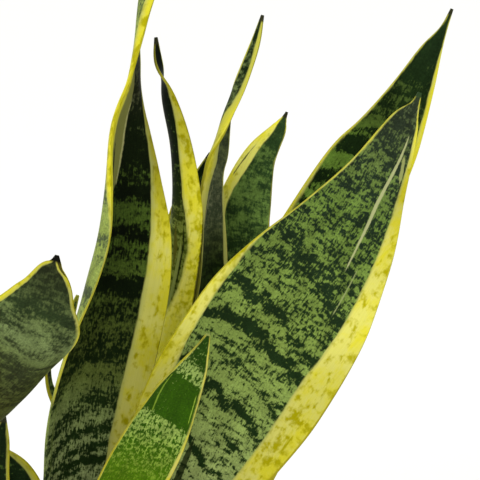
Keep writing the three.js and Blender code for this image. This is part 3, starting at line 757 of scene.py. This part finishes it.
def table_at(rows, height):
    """The values of a table of rows at a height, in a straight line from row to row."""
    heights, *columns = zip(*sorted(rows))
    return [float(np.interp(height, heights, column)) for column in columns]


def drop_diagonals(bm, places):
    """Leave only the quads of a blade."""
    spare = []
    for edge in bm.edges:
        (i, j), (k, m) = places[edge.verts[0]], places[edge.verts[1]]
        along_blade = i != k and j == m
        round_blade = i == k and (j - m) % RING in (1, RING - 1)
        across_cap = i == k and j + m == RING - 1
        if not (along_blade or round_blade or across_cap):
            spare.append(edge)
    bmesh.ops.dissolve_edges(bm, edges=spare, use_verts=False)


def grow_blade(node, look):
    """A smooth blade from a CAD leaf, with the places that its pattern needs kept on its points."""
    bm = bmesh.new()
    bm.from_mesh(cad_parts[node].data)
    streaks = look["streaks"]
    layers = {name: bm.verts.layers.float.new(name) for name in BLADE_PLACES + streak_places(streaks)}
    map_layer = bm.loops.layers.uv.new("blade")
    crease = bm.edges.layers.float.new("crease_edge")
    bmesh.ops.remove_doubles(bm, verts=bm.verts, dist=SAME_PLACE)
    rings = blade_rings(bm)
    half = RING // 2
    places = {vertex: (i, j) for i, ring in enumerate(rings) for j, vertex in enumerate(ring)}
    drop_diagonals(bm, places)

    # what the pattern needs: the place across, the distances from the margin and from the tip, and more
    points = np.array([[vertex.co for vertex in ring] for ring in rings])
    middles = (points[:, :half] + points[:, :half - 1:-1]) / 2
    widths = np.linalg.norm(np.diff(middles, axis=1), axis=2)
    left, right = widths[:, :half // 2].sum(axis=1), widths[:, half // 2:].sum(axis=1)
    steps = np.linalg.norm(np.diff(middles[:, half // 2], axis=0), axis=1)
    along = np.concatenate([[0], np.cumsum(steps)])
    for i, ring in enumerate(rings):
        share = float(along[i] / along[-1])
        drop, lean, breakup, yellow = table_at(look["course"], share)
        for j, vertex in enumerate(ring):
            inner = j < half
            station = STATIONS[j if inner else RING - 1 - j]
            reach = float(left[i] if station < 0 else right[i])
            height = points[i, j, 2] / MM
            margins = look["margins"] if inner else look.get("outer_margins", look["margins"])
            margin_left, margin_right = table_at(margins, height)
            from_left = float(left[i]) + station * reach
            values = {
                "across": station,
                "from_left": from_left / MM,
                "from_right": (float(left[i] + right[i]) - from_left) / MM,
                "margin_left": margin_left,
                "margin_right": margin_right,
                "share": share,
                "tip": float(along[-1] - along[i]) / MM,
                "drop": drop,
                "lean": lean,
                "breakup": breakup,
                "yellow": yellow,
                "outer": float(not inner),
                # how bright the margin is painted here: painted light and shade
                "margin_light_and_shade": table_at(look["margin_lights_and_shades"], height)[station > 0],
            }
            for number, (_, course) in enumerate(streaks):
                place, half_width = table_at(course, height)
                on_this_face = inner == look["streaks_inside"]
                values[f"streak_{number}"] = (station - place) * reach / MM
                values[f"streak_half_{number}"] = half_width if on_this_face else STREAK_OFF
            for name, value in values.items():
                vertex[layers[name]] = value
    for face in bm.faces:
        for loop in face.loops:
            i, j = places[loop.vert]
            station = STATIONS[j if j < half else RING - 1 - j]
            reach = float(left[i] if station < 0 else right[i])
            loop[map_layer].uv = (station * reach, float(along[i]))

    # the smooth surface goes through the CAD points, across each face and then along the blade
    faces = (points[:, :half], points[:, half:])
    held_across = [held_shape(face.swapaxes(0, 1)).swapaxes(0, 1) for face in faces]
    control = held_shape(np.concatenate(held_across, axis=1))
    for ring, row in zip(rings, control):
        for vertex, co in zip(ring, row):
            vertex.co = co
    for edge in bm.edges:
        (i, j), (k, m) = places[edge.verts[0]], places[edge.verts[1]]
        if i == k and i in (0, len(rings) - 1):
            edge[crease] = 1
        elif j == m and j in (0, half - 1, half, RING - 1):
            edge[crease] = MARGIN_CREASE
    mesh = bpy.data.meshes.new(node + "_blade")
    bm.to_mesh(mesh)
    bm.free()
    return mesh


# Leaf skin

def leaf_patterns(tree, seed, outer):
    """The noises of a leaf's skin, each stretched by how wide and how long its features are."""
    settings = bpy.context.scene.snake_plant_leaves
    # width across and length along the blade, and how much fine detail there is
    sizes = {
        "wander": (22 * MM, 40 * MM, 2),
        "patches": (18 * MM, 7 * MM, 2),
        "blotches": (5 * MM, 2.6 * MM, 2),
        "specks": (1.6 * MM, 2 * MM, 2),
        "grain": (0.9 * MM, 1 * MM, 2),
        "teeth": (settings.tooth_width, settings.tooth_length, 2),
        "veins": (settings.vein_spacing, 60 * MM, 2),
        "fringe": (2 * MM, 16 * MM, 3),
        "clouds": (8 * MM, 14 * MM, 3),
        "bunches": (4 * MM, 7 * MM, 2),
        "spots": (2.2 * MM, 3.4 * MM, 3),
    }
    blade = add(tree, "UVMap", {"uv_map": "blade"}, {})
    # the noises of each leaf, and of its outer face, are taken from a depth of their own
    depth = add(tree, "Math", {"operation": "MULTIPLY_ADD"}, {0: outer, 1: 3, 2: seed})
    shift = add(tree, "CombineXYZ", {}, {"Z": depth})
    patterns = {}
    for name, (width, length, detail) in sizes.items():
        stretched = add(tree, "VectorMath", {"operation": "MULTIPLY_ADD"}, {
            0: blade, 1: (1 / width, 1 / length, 0), 2: shift})
        patterns[name] = add(tree, "TexNoise", {}, {
            "Vector": stretched, "Scale": 1, "Detail": detail, "Roughness": 0.6})
    return patterns


def banded_green(tree, look, place, patterns):
    """Light and dark green in cross bands that wander, drop towards the margins and end in teeth."""
    squared = add(tree, "Math", {"operation": "MULTIPLY"}, {0: place["across"], 1: place["across"]})
    dropped = add(tree, "Math", {"operation": "MULTIPLY_ADD"}, {
        0: squared, 1: place["drop"], 2: place["share"]})
    leaning = add(tree, "Math", {"operation": "MULTIPLY_ADD"}, {
        0: place["across"], 1: place["lean"], 2: dropped})
    aside = add(tree, "Math", {"operation": "SUBTRACT"}, {0: patterns["wander"], 1: 0.5})
    wandering = add(tree, "Math", {"operation": "MULTIPLY_ADD"}, {0: aside, 1: look["wander"], 2: leaning})
    bands = add(tree, "ValToRGB", {}, {"Fac": wandering})
    set_stops(bands, look["bands"])
    breaks = 0
    for name in ("patches", "blotches", "specks", "teeth"):
        offset = add(tree, "Math", {"operation": "SUBTRACT"}, {0: patterns[name], 1: 0.5})
        breaks = add(tree, "Math", {"operation": "MULTIPLY_ADD"}, {0: offset, 1: look[name], 2: breaks})
    lifted = add(tree, "Math", {"operation": "MULTIPLY_ADD"}, {
        0: place["outer"], 1: look["outer_lift"], 2: bands.outputs["Color"]})
    lightness = add(tree, "Math", {"operation": "MULTIPLY_ADD"}, {
        0: breaks, 1: place["breakup"], 2: lifted})
    is_light = add(tree, "MapRange", GENTLE, {
        "Value": lightness, "From Min": 0.5 - look["softness"], "From Max": 0.5 + look["softness"]})
    greens = []
    for kind in ("dark", "light"):
        faces = []
        for face in ("", "outer_"):
            faces.append(add(tree, "ValToRGB", {}, {"Fac": place["share"]}))
            set_stops(faces[-1], look[face + kind])
        greens.append(add(tree, "Mix", COLOURS, {"Factor": place["outer"], "A": faces[0], "B": faces[1]}))
    green = add(tree, "Mix", COLOURS, {"Factor": is_light, "A": greens[0], "B": greens[1]})
    for name, strength in {"veins": 0.08, "grain": 0.26, "clouds": 0.22}.items():
        green = mottled(tree, green, patterns[name], 1 - strength, 1 + strength)
    return green


def yellow_margin(tree, look, place, patterns):
    """The margin's colour, cream inside and yellow outside with blotches, and whether a point is in it."""
    settings = bpy.context.scene.snake_plant_leaves
    # how far in mm a point is inside the margin, and how far from the edge as a share of the margin's width,
    # which counts as 0.5 mm or more
    insides = []
    depths = []
    for side in ("left", "right"):
        edge, width = place["from_" + side], place["margin_" + side]
        insides.append(add(tree, "Math", {"operation": "SUBTRACT"}, {0: width, 1: edge}))
        wide = add(tree, "Math", {"operation": "MAXIMUM"}, {0: width, 1: 0.5})
        depths.append(add(tree, "Math", {"operation": "DIVIDE"}, {0: edge, 1: wide}))
    nearest = add(tree, "Math", {"operation": "MAXIMUM"}, {0: insides[0], 1: insides[1]})
    depth = add(tree, "Math", {"operation": "MINIMUM"}, {0: depths[0], 1: depths[1]})
    # the fringe lets the margin stray by up to 1.6 mm
    inside = add(tree, "Math", {"operation": "MULTIPLY_ADD"}, {0: patterns["fringe"], 1: 1.6, 2: nearest})
    in_margin = add(tree, "MapRange", GENTLE, {"Value": inside, "From Min": 0.4, "From Max": 1.3})

    # cloudy yellow over cream, and bunches of yellow-green blotches: what decides on each, and its weight
    amounts = {
        "yellow": (
            (place["yellow"], 1.2), (patterns["clouds"], 3), (patterns["spots"], 1.2), (depth, -0.5)),
        "blotch": (
            (patterns["wander"], 1.4), (patterns["bunches"], 2.4), (patterns["spots"], 1.6), (depth, -0.2)),
    }
    sums = {}
    for name, parts in amounts.items():
        total = -0.5 * sum(weight for _, weight in parts)
        for value, weight in parts:
            total = add(tree, "Math", {"operation": "MULTIPLY_ADD"}, {0: value, 1: weight, 2: total})
        sums[name] = total
    blotch_start = 0.4 - 0.6 * look["blotched"]
    colour = tinted(tree, (*settings.cream, 1), settings.yellow, sums["yellow"], (-0.45, 0.65))
    colour = tinted(tree, colour, settings.blotch, sums["blotch"], (blotch_start, blotch_start + 0.65))
    colour = mottled(tree, colour, patterns["veins"], 0.94, 1.04)
    # the margin made brighter or darker by height: painted light and shade
    colour = add(tree, "VectorMath", {"operation": "SCALE"}, {0: colour, "Scale": place["margin_light_and_shade"]})
    colour = tinted(tree, colour, settings.veil, inside, (0.7, look["veil"]), (0.5, 0))
    colour = tinted(tree, colour, settings.rim, depth, (0, 0.1), (look["rim"], 0))
    return colour, in_margin


def streaked(tree, look, place, patterns, skin):
    """The skin with its pale or dark streaks between the veins, and the painted shadows, painted shade and
    painted highlight laid on it as streaks.
    """
    for number, (colour, _) in enumerate(look["streaks"]):
        distance = add(tree, "Math", {"operation": "ABSOLUTE"}, {0: place[f"streak_{number}"]})
        ragged = add(tree, "Math", {"operation": "MULTIPLY_ADD"}, {
            0: patterns["specks"], 1: 0.6, 2: distance})
        inside = add(tree, "Math", {"operation": "SUBTRACT"}, {
            0: place[f"streak_half_{number}"], 1: ragged})
        skin = tinted(tree, skin, linear(colour), inside, (-0.45, 0.05), (0, 0.9))
    return skin


def leaf_material(name, look, seed, gloss):
    """Living leaf: tough waxy skin over fine lengthwise veins, half gloss, with bands and yellow margins."""
    settings = bpy.context.scene.snake_plant_leaves
    material, tree, output = new_material(name)
    place = {
        key: add(tree, "Attribute", {"attribute_name": key}, {}).outputs["Fac"]
        for key in BLADE_PLACES + streak_places(look["streaks"])
    }
    patterns = leaf_patterns(tree, seed, place["outer"])
    green = banded_green(tree, look, place, patterns)
    margin, in_margin = yellow_margin(tree, look, place, patterns)
    skin = add(tree, "Mix", COLOURS, {"Factor": in_margin, "A": green, "B": margin})
    skin = streaked(tree, look, place, patterns, skin)

    # a dry spine at the tip, and a pale foot where the leaf leaves the soil
    spine = look["spine"]
    skin = tinted(tree, skin, linear(look["spine_colour"]), place["tip"], (0.6 * spine, spine), (1, 0))
    skin = tinted(tree, skin, settings.foot, place["share"], (0.06, 0.2), (0.6, 0))
    skin = add(tree, "VectorMath", {"operation": "SCALE"}, {0: skin, "Scale": settings.skin_tone})

    # veins that can be felt and pores between them, and a gloss that they break up
    ridges = add(tree, "Bump", {}, {
        "Height": patterns["veins"], "Distance": settings.vein_depth, "Strength": 0.6})
    pores = add(tree, "Bump", {}, {
        "Height": patterns["specks"], "Distance": 0.12 * MM, "Strength": 0.5, "Normal": ridges})
    roughness = add(tree, "MapRange", {}, {
        "Value": patterns["specks"], **NOISE_SPAN,
        "To Min": 0.42 - 0.16 * gloss, "To Max": 0.54 - 0.2 * gloss})
    shader = add(tree, "BsdfPrincipled", {}, {
        "Base Color": skin, "Roughness": roughness, "Normal": pores, "IOR": 1.45,
        "Specular IOR Level": 0.025 + 0.04 * gloss,
        "Subsurface Weight": 0.04, "Subsurface Scale": 1.2 * MM, "Subsurface Radius": (0.6, 1.0, 0.2)})
    tree.links.new(shader.outputs["BSDF"], output.inputs["Surface"])
    return material


def make_leaf(node, look, seed, kind, gloss, slot):
    """One finished leaf in the place of its CAD node."""
    which = node.removeprefix("leaf_").replace("_", " ")
    material = leaf_material(f"{kind} {which}", look, seed, gloss)
    leaf = finished(node + "_blade", grow_blade(node, look), material, slot, node)
    smoothing = leaf.modifiers.new("Smooth blade", "SUBSURF")
    smoothing.levels = smoothing.render_levels = bpy.context.scene.snake_plant_leaves.smoothing
    smoothing.uv_smooth = "NONE"


class MatureLeaves(bpy.types.Operator):
    """Grow the banded leaves with yellow margins"""

    bl_idname = "snake_plant.mature_leaves"
    bl_label = "Mature Leaves"

    def execute(self, context):
        for number, (node, look) in enumerate(LEAVES.items()):
            make_leaf(node, {**LEAF, **look}, 1 + 0.7 * number, "Waxy banded leaf", 0, "leaf")
        return {"FINISHED"}


class YoungLeaf(bpy.types.Operator):
    """Grow the glossy young leaf in front"""

    bl_idname = "snake_plant.young_leaf"
    bl_label = "Young Leaf"

    def execute(self, context):
        make_leaf("leaf_young", {**LEAF, **YOUNG_LEAF}, 20, "Glossy young leaf", 0.6, "young_leaf")
        return {"FINISHED"}


# Pot

DRAIN_HOLES = 3
DRAIN_RADIUS = 6 * MM
DRAIN_CIRCLE = 26 * MM
# half the width of the patch of floor that a hole takes the place of, as a share of the hole's radius
DRAIN_PATCH = 0.75
# height of the rounded lip, and how far the band's and the foot's edges are broken and rounded off
LIP_HEIGHT = 3 * MM
BROKEN_EDGE = 2 * MM
ROUNDED_EDGE = 0.6 * MM
# how far the floor's corner inside is filled, and how far the wall leans out there for each metre up
INSIDE_CORNER = 6 * MM
WALL_LEAN = 0.12
# the wall's steps from foot to band, and the lip's steps from outside to inside
WALL_STEPS = 12
LIP_STEPS = 8
# edges that bend more than this look sharp
SHARP_ANGLE = math.radians(35)


def pot_profile(settings):
    """The pot's outline, from the middle of its base up the outside, over the lip and in to its floor."""
    rim, _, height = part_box("pot")[1]
    base, shoulder, floor = settings.base_radius, settings.shoulder_radius, settings.floor
    band = height - settings.band_height
    lip_foot = height - LIP_HEIGHT
    outline = [
        (0, 0), (DRAIN_CIRCLE - DRAIN_RADIUS, 0), (DRAIN_CIRCLE + DRAIN_RADIUS, 0),
        (base - BROKEN_EDGE, 0), (base - ROUNDED_EDGE, 0.5 * MM), (base, BROKEN_EDGE),
    ]
    for step in range(1, WALL_STEPS):
        share = step / WALL_STEPS
        outline.append((base + (shoulder - base) * share, BROKEN_EDGE + (band - BROKEN_EDGE) * share))
    outline += [
        (shoulder, band - ROUNDED_EDGE), (shoulder + ROUNDED_EDGE, band),
        (rim - BROKEN_EDGE, band), (rim - ROUNDED_EDGE, band + ROUNDED_EDGE), (rim, band + BROKEN_EDGE),
    ]
    outline += [(rim, band + (lip_foot - band) * share) for share in (0.3, 0.6, 0.9)]
    for step in range(LIP_STEPS + 1):
        angle = math.pi * step / LIP_STEPS
        inwards = settings.lip / 2 * (1 - math.cos(angle))
        outline.append((rim - inwards, lip_foot + LIP_HEIGHT * math.sin(angle)))
    inside_top = rim - settings.lip
    inside_foot = base - settings.wall + floor * WALL_LEAN
    for share in (0.05, 0.1, 0.2, 0.5, 0.8):
        outline.append((inside_top + (inside_foot - inside_top) * share,
                        lip_foot + (floor + INSIDE_CORNER - lip_foot) * share))
    outline += [
        (inside_foot - INSIDE_CORNER, floor), (DRAIN_CIRCLE + DRAIN_RADIUS, floor),
        (DRAIN_CIRCLE - DRAIN_RADIUS, floor), (0, floor),
    ]
    return outline


def drill_drain(bm, angle, steps, floor):
    """Open a round hole through the pot's floor at an angle round its middle."""
    centre = Vector((DRAIN_CIRCLE * math.cos(angle), DRAIN_CIRCLE * math.sin(angle), 0))
    reach = math.pi / steps + math.asin(DRAIN_RADIUS * DRAIN_PATCH / DRAIN_CIRCLE)
    loops = []
    for level in (0, floor):
        patch = []
        for face in bm.faces:
            middle = face.calc_center_median()
            turn = (math.atan2(middle.y, middle.x) - angle + math.pi) % (2 * math.pi) - math.pi
            distance = math.hypot(middle.x, middle.y)
            in_ring = abs(middle.z - level) < SAME_PLACE and abs(distance - DRAIN_CIRCLE) < DRAIN_RADIUS
            if in_ring and abs(turn) < reach:
                patch.append(face)
        rim = {vertex for face in patch for vertex in face.verts}
        bmesh.ops.delete(bm, geom=patch, context="FACES")
        for vertex in rim:
            away = Vector((vertex.co.x - centre.x, vertex.co.y - centre.y, 0)).normalized() * DRAIN_RADIUS
            vertex.co = Vector((centre.x, centre.y, level)) + away
        loops += [edge for edge in bm.edges if edge.is_boundary and set(edge.verts) <= rim]
    bmesh.ops.bridge_loops(bm, edges=loops)


def terracotta():
    """Fired clay: matt and porous, with fine sand, turning marks and pale lime bloom from watering."""
    settings = bpy.context.scene.snake_plant_pot
    material, tree, output = new_material("Fired terracotta")
    place = add(tree, "TexCoord", {}, {}).outputs["Object"]
    height = add(tree, "SeparateXYZ", {}, {0: place}).outputs["Z"]
    # sand grains of 0.5 mm, mottling of 12.5 mm and bloom in clouds of 26.3 mm
    grain = add(tree, "TexNoise", {}, {
        "Vector": place, "Scale": 1 / (0.5 * MM), "Detail": 2, "Roughness": 0.7})
    mottle = add(tree, "TexNoise", {}, {
        "Vector": place, "Scale": 1 / (12.5 * MM), "Detail": 5, "Roughness": 0.65})
    clouds = add(tree, "TexNoise", {}, {
        "Vector": place, "Scale": 1 / (26.3 * MM), "Detail": 6, "Roughness": 0.62})
    # turning marks 1.43 mm apart, which change slowly round the pot
    drawn_out = add(tree, "VectorMath", {"operation": "MULTIPLY"}, {
        0: place, 1: (1 / (83 * MM), 1 / (83 * MM), 1 / (1.43 * MM))})
    turning = add(tree, "TexNoise", {}, {"Vector": drawn_out, "Scale": 1, "Detail": 2})
    clay = mottled(tree, tuple(settings.clay), mottle, 0.78, 1.15)
    clay = mottled(tree, clay, grain, 0.88, 1.1, {"From Min": 0.35, "From Max": 0.65})
    # bloom gathers at the foot, under the band and on the rim: places up the pot as shares of 143 mm
    up_the_pot = add(tree, "Math", {"operation": "MULTIPLY"}, {0: height, 1: 1 / (143 * MM)})
    gathered = add(tree, "ValToRGB", {}, {"Fac": up_the_pot})
    set_stops(gathered, [
        (0, 0.34), (0.12, 0.2), (0.55, 0.12), (0.74, 0.26), (0.78, 0.1), (0.92, 0.24), (0.96, 0.4)])
    bloomed = add(tree, "Math", {"operation": "ADD"}, {0: clouds, 1: gathered})
    colour = tinted(tree, clay, settings.bloom, bloomed, (0.68, 0.98), (0, 0.7))
    turned = add(tree, "Bump", {}, {"Height": turning, "Distance": 0.25 * MM, "Strength": 0.5})
    sandy = add(tree, "Bump", {}, {
        "Height": grain, "Distance": 0.12 * MM, "Strength": 0.6, "Normal": turned})
    roughness = add(tree, "MapRange", {}, {"Value": mottle, **NOISE_SPAN, "To Min": 0.78, "To Max": 0.95})
    shader = add(tree, "BsdfPrincipled", {}, {
        "Base Color": colour, "Normal": sandy, "Roughness": roughness, "IOR": 1.5})
    tree.links.new(shader.outputs["BSDF"], output.inputs["Surface"])
    return material


def turned_on_axis(bm, outline, steps):
    """Turn an outline of radii and heights round the pot's axis."""
    vertices = [bm.verts.new((radius, 0, height)) for radius, height in outline]
    edges = [bm.edges.new(pair) for pair in zip(vertices, vertices[1:])]
    bmesh.ops.spin(bm, geom=vertices + edges, axis=(0, 0, 1), cent=(0, 0, 0), angle=2 * math.pi,
                   steps=steps, use_merge=True)
    bmesh.ops.remove_doubles(bm, verts=bm.verts, dist=SAME_PLACE)


class ClayPot(bpy.types.Operator):
    """Turn the clay pot with its rim band and drain holes"""

    bl_idname = "snake_plant.clay_pot"
    bl_label = "Clay Pot"

    def execute(self, context):
        settings = context.scene.snake_plant_pot
        bm = bmesh.new()
        turned_on_axis(bm, pot_profile(settings), settings.steps)
        for hole in range(DRAIN_HOLES):
            drill_drain(bm, 2 * math.pi * hole / DRAIN_HOLES, settings.steps, settings.floor)
        bmesh.ops.recalc_face_normals(bm, faces=bm.faces)
        mesh = bpy.data.meshes.new("clay_pot")
        bm.to_mesh(mesh)
        bm.free()
        pot = finished("clay_pot", mesh, terracotta(), "clay", "pot")
        pot.data.set_sharp_from_angle(angle=SHARP_ANGLE)
        return {"FINISHED"}


# Soil

SOIL_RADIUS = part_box("soil")[1].x
# the solid soil's height in the middle, and how much lower it is at the pot's wall
SOIL_TOP = 122 * MM
SOIL_DISH = 4 * MM
# the crumbly skin's height over the solid soil, its thickness, its rings and its steps round them
SOIL_LIFT = 0.9 * MM
SKIN_THICKNESS = 0.5 * MM
SKIN_RINGS = 40
SKIN_STEPS = 160
# how wide and how high the skin's lumps are
LUMP_WIDTH = 14 * MM
LUMP_HEIGHT = 0.8 * MM
# how far strewn lumps keep from the edge, and how high their middles are as a share of their size
STREWN_GAP = 3 * MM
STREWN_SEAT = 0.15


def potting_mix(name, colour, spacing, roughness):
    """Damp peat, bark or grit: no gloss, crumbly, with painted shade that darkens its hollows."""
    material, tree, output = new_material(name)
    place = add(tree, "TexCoord", {}, {}).outputs["Object"]
    crumbs = add(tree, "TexNoise", {}, {
        "Vector": place, "Scale": 1 / spacing, "Detail": 5, "Roughness": 0.7})
    lumps = add(tree, "TexNoise", {}, {"Vector": place, "Scale": 0.2 / spacing, "Detail": 2})
    # the crumbs' hollows, which the bump sinks, are darkened as painted shade
    shade = mottled(tree, tuple(colour), crumbs, 0.45, 1.5)
    shade = mottled(tree, shade, lumps, 0.75, 1.2)
    rough = add(tree, "Bump", {}, {"Height": crumbs, "Distance": spacing / 2, "Strength": 0.8})
    shader = add(tree, "BsdfPrincipled", {}, {
        "Base Color": shade, "Normal": rough, "Roughness": roughness, "IOR": 1.4})
    tree.links.new(shader.outputs["BSDF"], output.inputs["Surface"])
    return material


def soil_height(x, y):
    """The height of the soil's crumbly surface."""
    reach = min(1, math.hypot(x, y) / SOIL_RADIUS)
    lumps = noise.fractal(Vector((x, y, 0)) / LUMP_WIDTH, 1, 2, 4)
    return SOIL_TOP - SOIL_DISH * reach ** 4 + SOIL_LIFT + LUMP_HEIGHT * lumps


def scatter(count, sizes, flatness, seed):
    """Small uneven lumps strewn on the soil, as one mesh."""
    chance = random.Random(seed)
    bm = bmesh.new()
    for _ in range(count):
        away = (SOIL_RADIUS - STREWN_GAP) * math.sqrt(chance.random())
        angle = chance.uniform(0, 2 * math.pi)
        x, y = away * math.cos(angle), away * math.sin(angle)
        size = chance.uniform(*sizes) * MM
        shape = Matrix.Translation((x, y, soil_height(x, y) + size * STREWN_SEAT))
        shape @= Matrix.Rotation(chance.uniform(0, 2 * math.pi), 4, "Z")
        shape @= Matrix.Rotation(chance.uniform(-0.5, 0.5), 4, "X")
        length, width = size * chance.uniform(0.7, 1.4), size * chance.uniform(0.5, 1)
        shape @= Matrix.Diagonal((length, width, size * flatness, 1))
        made = bmesh.ops.create_icosphere(bm, subdivisions=1, radius=0.5, matrix=shape)
        for vertex in made["verts"]:
            knock = Vector([chance.uniform(-0.13, 0.13) * size for _ in range(3)])
            vertex.co += knock * min(1, flatness * 2)
    mesh = bpy.data.meshes.new("strewn")
    bm.to_mesh(mesh)
    bm.free()
    return mesh


class PottingSoil(bpy.types.Operator):
    """Lay the potting mix with its crumbs, bark chips and pale grit"""

    bl_idname = "snake_plant.potting_soil"
    bl_label = "Potting Soil"

    def execute(self, context):
        settings = context.scene.snake_plant_soil
        peat = potting_mix("Damp peat", settings.peat, 1.6 * MM, 0.95)
        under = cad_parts["soil"]
        under.data.materials.clear()
        under.data.materials.append(peat)

        # a fine crumbly skin just over the solid soil
        bm = bmesh.new()
        outline = [(SOIL_RADIUS * ring / SKIN_RINGS, 0) for ring in range(SKIN_RINGS + 1)]
        turned_on_axis(bm, outline, SKIN_STEPS)
        for vertex in bm.verts:
            vertex.co.z = soil_height(vertex.co.x, vertex.co.y)
        bmesh.ops.recalc_face_normals(bm, faces=bm.faces)
        bmesh.ops.solidify(bm, geom=bm.faces, thickness=SKIN_THICKNESS)
        mesh = bpy.data.meshes.new("soil_surface")
        bm.to_mesh(mesh)
        bm.free()
        finished("soil_surface", mesh, peat, "potting_soil")

        # piece, how many, sizes in mm, flatness, then material, colour, grain in mm and roughness
        strewn = (
            ("peat_crumbs", settings.crumb_count, (1, 4), 0.7, "Peat crumbs", settings.peat, 0.8, 0.95),
            ("bark_chips", settings.chip_count, (4, 9), 0.3, "Bark chips", settings.bark, 1.2, 0.85),
            ("pale_grit", settings.grit_count, (1.5, 3.2), 0.8, "Volcanic grit", settings.grit, 0.7, 0.9),
        )
        for seed, (piece, count, sizes, flatness, *look) in enumerate(strewn, start=1):
            title, colour, grain, roughness = look
            material = potting_mix(title, colour, grain * MM, roughness)
            finished(piece, scatter(count, sizes, flatness, seed), material, "potting_soil", smooth=False)
        return {"FINISHED"}


class Rhizome(bpy.types.Operator):
    """Give the buried rhizome its skin"""

    bl_idname = "snake_plant.rhizome"
    bl_label = "Rhizome"

    def execute(self, context):
        skin = potting_mix("Papery rhizome skin", context.scene.snake_plant_soil.rhizome, 2 * MM, 0.6)
        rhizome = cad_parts["rhizome"]
        rhizome.data.materials.clear()
        rhizome.data.materials.append(skin)
        return {"FINISHED"}


# Studio

# the floor's radius in metres, and the width of the camera's sensor in mm
FLOOR_RADIUS = 9
SENSOR_WIDTH = 36
# how wide the ceiling light is as an angle, and the direction that it shines from
CEILING_ANGLE = math.radians(60)
CEILING_FROM = (-0.35, -0.5, 0.8)
# the key light's place, the point that it looks at and its size, in metres
KEY_PLACE = (-0.7, -1.1, 1.3)
KEY_AIM = (0.05, 0, 0.28)
KEY_SIZE = 0.7


def lamp(name, place, aim, size, watts):
    """A square soft light that looks at a point."""
    data = bpy.data.lights.new(name, "AREA")
    data.shape = "SQUARE"
    data.size = size
    data.energy = watts
    obj = bpy.data.objects.new(name, data)
    obj.location = place
    obj.rotation_euler = (Vector(aim) - Vector(place)).to_track_quat("-Z", "Y").to_euler()
    bpy.context.scene.collection.objects.link(obj)


class Studio(bpy.types.Operator):
    """Set the camera, the soft lights and the pale floor"""

    bl_idname = "snake_plant.studio"
    bl_label = "Studio"

    def execute(self, context):
        settings = context.scene.snake_plant_stage
        scene = context.scene
        bm = bmesh.new()
        bmesh.ops.create_circle(bm, cap_ends=True, segments=64, radius=FLOOR_RADIUS)
        mesh = bpy.data.meshes.new("studio_floor")
        bm.to_mesh(mesh)
        bm.free()
        floor = bpy.data.objects.new("studio_floor", mesh)
        scene.collection.objects.link(floor)
        material, tree, output = new_material("Matt white studio floor")
        place = add(tree, "TexCoord", {}, {}).outputs["Object"]
        faint = add(tree, "TexNoise", {}, {"Vector": place, "Scale": 3, "Detail": 2})
        roughness = add(tree, "MapRange", {}, {"Value": faint, "To Min": 0.85, "To Max": 0.95})
        shader = add(tree, "BsdfPrincipled", {}, {
            "Base Color": (*settings.floor, 1), "Roughness": roughness, "Specular IOR Level": 0.2})
        tree.links.new(shader.outputs["BSDF"], output.inputs["Surface"])
        mesh.materials.append(material)

        world = bpy.data.worlds.new("Soft white room")
        world.use_nodes = True
        background = world.node_tree.nodes["Background"]
        background.inputs["Color"].default_value = (1, 1, 1, 1)
        background.inputs["Strength"].default_value = settings.room_light
        scene.world = world
        sky = bpy.data.lights.new("Ceiling light", "SUN")
        sky.angle = CEILING_ANGLE
        sky.energy = settings.ceiling_light
        ceiling = bpy.data.objects.new("Ceiling light", sky)
        ceiling.rotation_euler = Vector(CEILING_FROM).to_track_quat("Z", "Y").to_euler()
        scene.collection.objects.link(ceiling)
        lamp("Key light", KEY_PLACE, KEY_AIM, KEY_SIZE, settings.key_light)

        data = bpy.data.cameras.new("Photograph camera")
        data.lens = settings.lens
        data.sensor_width = SENSOR_WIDTH
        camera = bpy.data.objects.new("Photograph camera", data)
        back = Vector((0, -math.cos(settings.elevation), math.sin(settings.elevation)))
        camera.location = Vector(settings.target) + back * settings.distance
        camera.rotation_euler = (math.pi / 2 - settings.elevation, 0, 0)
        scene.collection.objects.link(camera)
        scene.camera = camera
        scene.view_settings.view_transform = "Standard"
        return {"FINISHED"}


class SnakePlantPanel(bpy.types.Panel):
    """Lists the steps that build the plant"""

    bl_idname = "VIEW3D_PT_snake_plant"
    bl_label = "Snake Plant"
    bl_space_type = "VIEW_3D"
    bl_region_type = "UI"
    bl_category = "Snake Plant"

    def draw(self, context):
        for operator in OPERATORS:
            self.layout.operator(operator.bl_idname)


SETTINGS = {
    "snake_plant_leaves": LeafSettings,
    "snake_plant_pot": PotSettings,
    "snake_plant_soil": SoilSettings,
    "snake_plant_stage": StageSettings,
}
OPERATORS = (MatureLeaves, YoungLeaf, ClayPot, PottingSoil, Rhizome, Studio)


def register():
    for cls in (*SETTINGS.values(), *OPERATORS, SnakePlantPanel):
        bpy.utils.register_class(cls)
    for name, settings in SETTINGS.items():
        setattr(bpy.types.Scene, name, bpy.props.PointerProperty(type=settings))


def unregister():
    for name in SETTINGS:
        delattr(bpy.types.Scene, name)
    for cls in reversed((*SETTINGS.values(), *OPERATORS, SnakePlantPanel)):
        bpy.utils.unregister_class(cls)


def main():
    """Build the whole scene."""
    register()
    bpy.ops.snake_plant.mature_leaves()
    bpy.ops.snake_plant.young_leaf()
    bpy.ops.snake_plant.clay_pot()
    bpy.ops.snake_plant.potting_soil()
    bpy.ops.snake_plant.rhizome()
    bpy.ops.snake_plant.studio()


if __name__ == "__main__":
    main()
